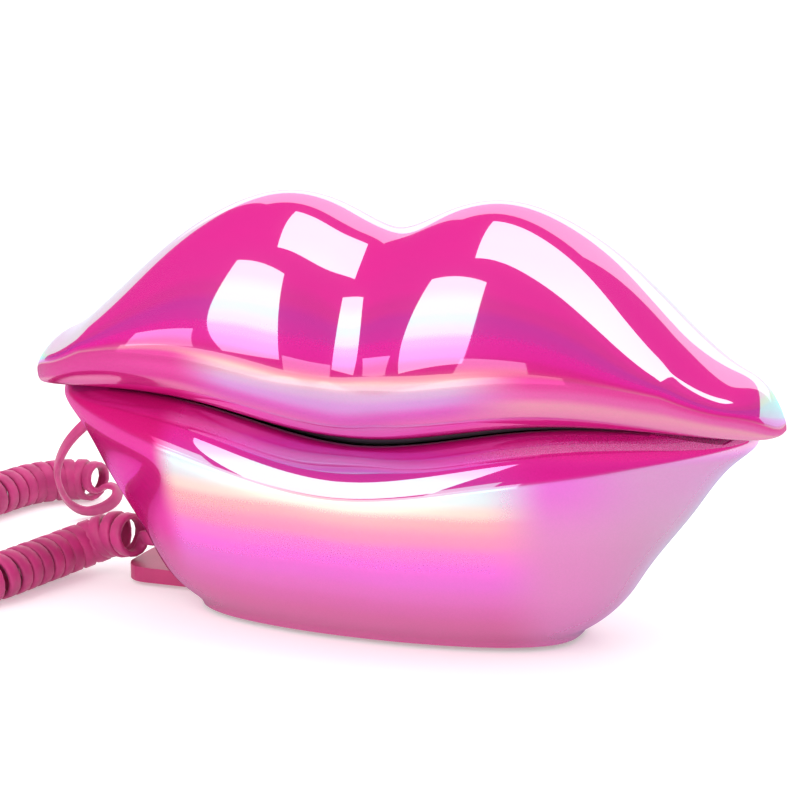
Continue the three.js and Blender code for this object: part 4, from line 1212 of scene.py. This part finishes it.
NODE_FINISHES = {
    "cradle_deck": "black plastic", "base_plate": "pink plastic", "ballast_plate": "ballast steel",
    "base_circuit_board": "circuit board", "ringer": "dark plastic", "line_jack": "dark plastic",
    "base_cord_jack": "dark plastic", "hook_switch_body": "dark plastic",
    "hook_plunger": "plunger plastic", "hook_spring": "screw steel",
    "ringer_switch_body": "dark plastic", "ringer_switch_knob": "black plastic",
    "dial_mode_switch_body": "dark plastic", "dial_mode_switch_knob": "black plastic",
    "key_mat": "mat rubber", "handset_circuit_board": "circuit board",
    "handset_weight": "ballast steel", "receiver_capsule": "capsule metal",
    "receiver_gasket": "gasket rubber", "microphone_capsule": "capsule metal",
    "handset_cord_jack": "dark plastic", "handset_cord_plug": "plug plastic",
    "base_cord_plug": "plug plastic",
}


class LIPSPHONE_OT_frame_finishes(bpy.types.Operator):
    """Finishes for the frame's own pieces that stay in view"""
    bl_idname = "lips_phone.frame_finishes"
    bl_label = "Other pieces"

    def execute(self, context):
        chosen = dict(NODE_FINISHES)
        for i in range(1, 5):
            chosen[f"foot_pad_{i}"] = "pad rubber"
            chosen[f"base_screw_{i}"] = chosen[f"handset_screw_{i}"] = "screw steel"
        for name, kind in chosen.items():
            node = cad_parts[name]
            node.data.materials.clear()
            node.data.materials.append(finish(kind))
        return {"FINISHED"}


class LIPSPHONE_PT_panel(bpy.types.Panel):
    """Lists the telephone's pieces and settings"""
    bl_label = "Lips Telephone"
    bl_space_type = "VIEW_3D"
    bl_region_type = "UI"
    bl_category = "Lips Phone"

    def draw(self, context):
        for operator in OPERATORS:
            self.layout.operator(operator.bl_idname)
        for group in (context.scene.lips_phone_sizes, context.scene.lips_phone_colours):
            for key in group.bl_rna.properties.keys():
                if key not in ("rna_type", "name"):
                    self.layout.prop(group, key)


OPERATORS = [LIPSPHONE_OT_stage, LIPSPHONE_OT_cord, LIPSPHONE_OT_upper_shell,
             LIPSPHONE_OT_lower_shell, LIPSPHONE_OT_faceplate, LIPSPHONE_OT_keys,
             LIPSPHONE_OT_frame_finishes]
CLASSES = [LipsPhoneColours, LipsPhoneSizes, *OPERATORS, LIPSPHONE_PT_panel]


def register():
    for item in CLASSES:
        bpy.utils.register_class(item)
    bpy.types.Scene.lips_phone_colours = bpy.props.PointerProperty(type=LipsPhoneColours)
    bpy.types.Scene.lips_phone_sizes = bpy.props.PointerProperty(type=LipsPhoneSizes)


def unregister():
    del bpy.types.Scene.lips_phone_sizes
    del bpy.types.Scene.lips_phone_colours
    for item in reversed(CLASSES):
        bpy.utils.unregister_class(item)


def main():
    register()
    bpy.ops.lips_phone.stage()
    bpy.ops.lips_phone.cord()
    bpy.ops.lips_phone.upper_shell()
    bpy.ops.lips_phone.lower_shell()
    bpy.ops.lips_phone.faceplate()
    bpy.ops.lips_phone.keys()
    bpy.ops.lips_phone.frame_finishes()


if __name__ == "__main__":
    main()
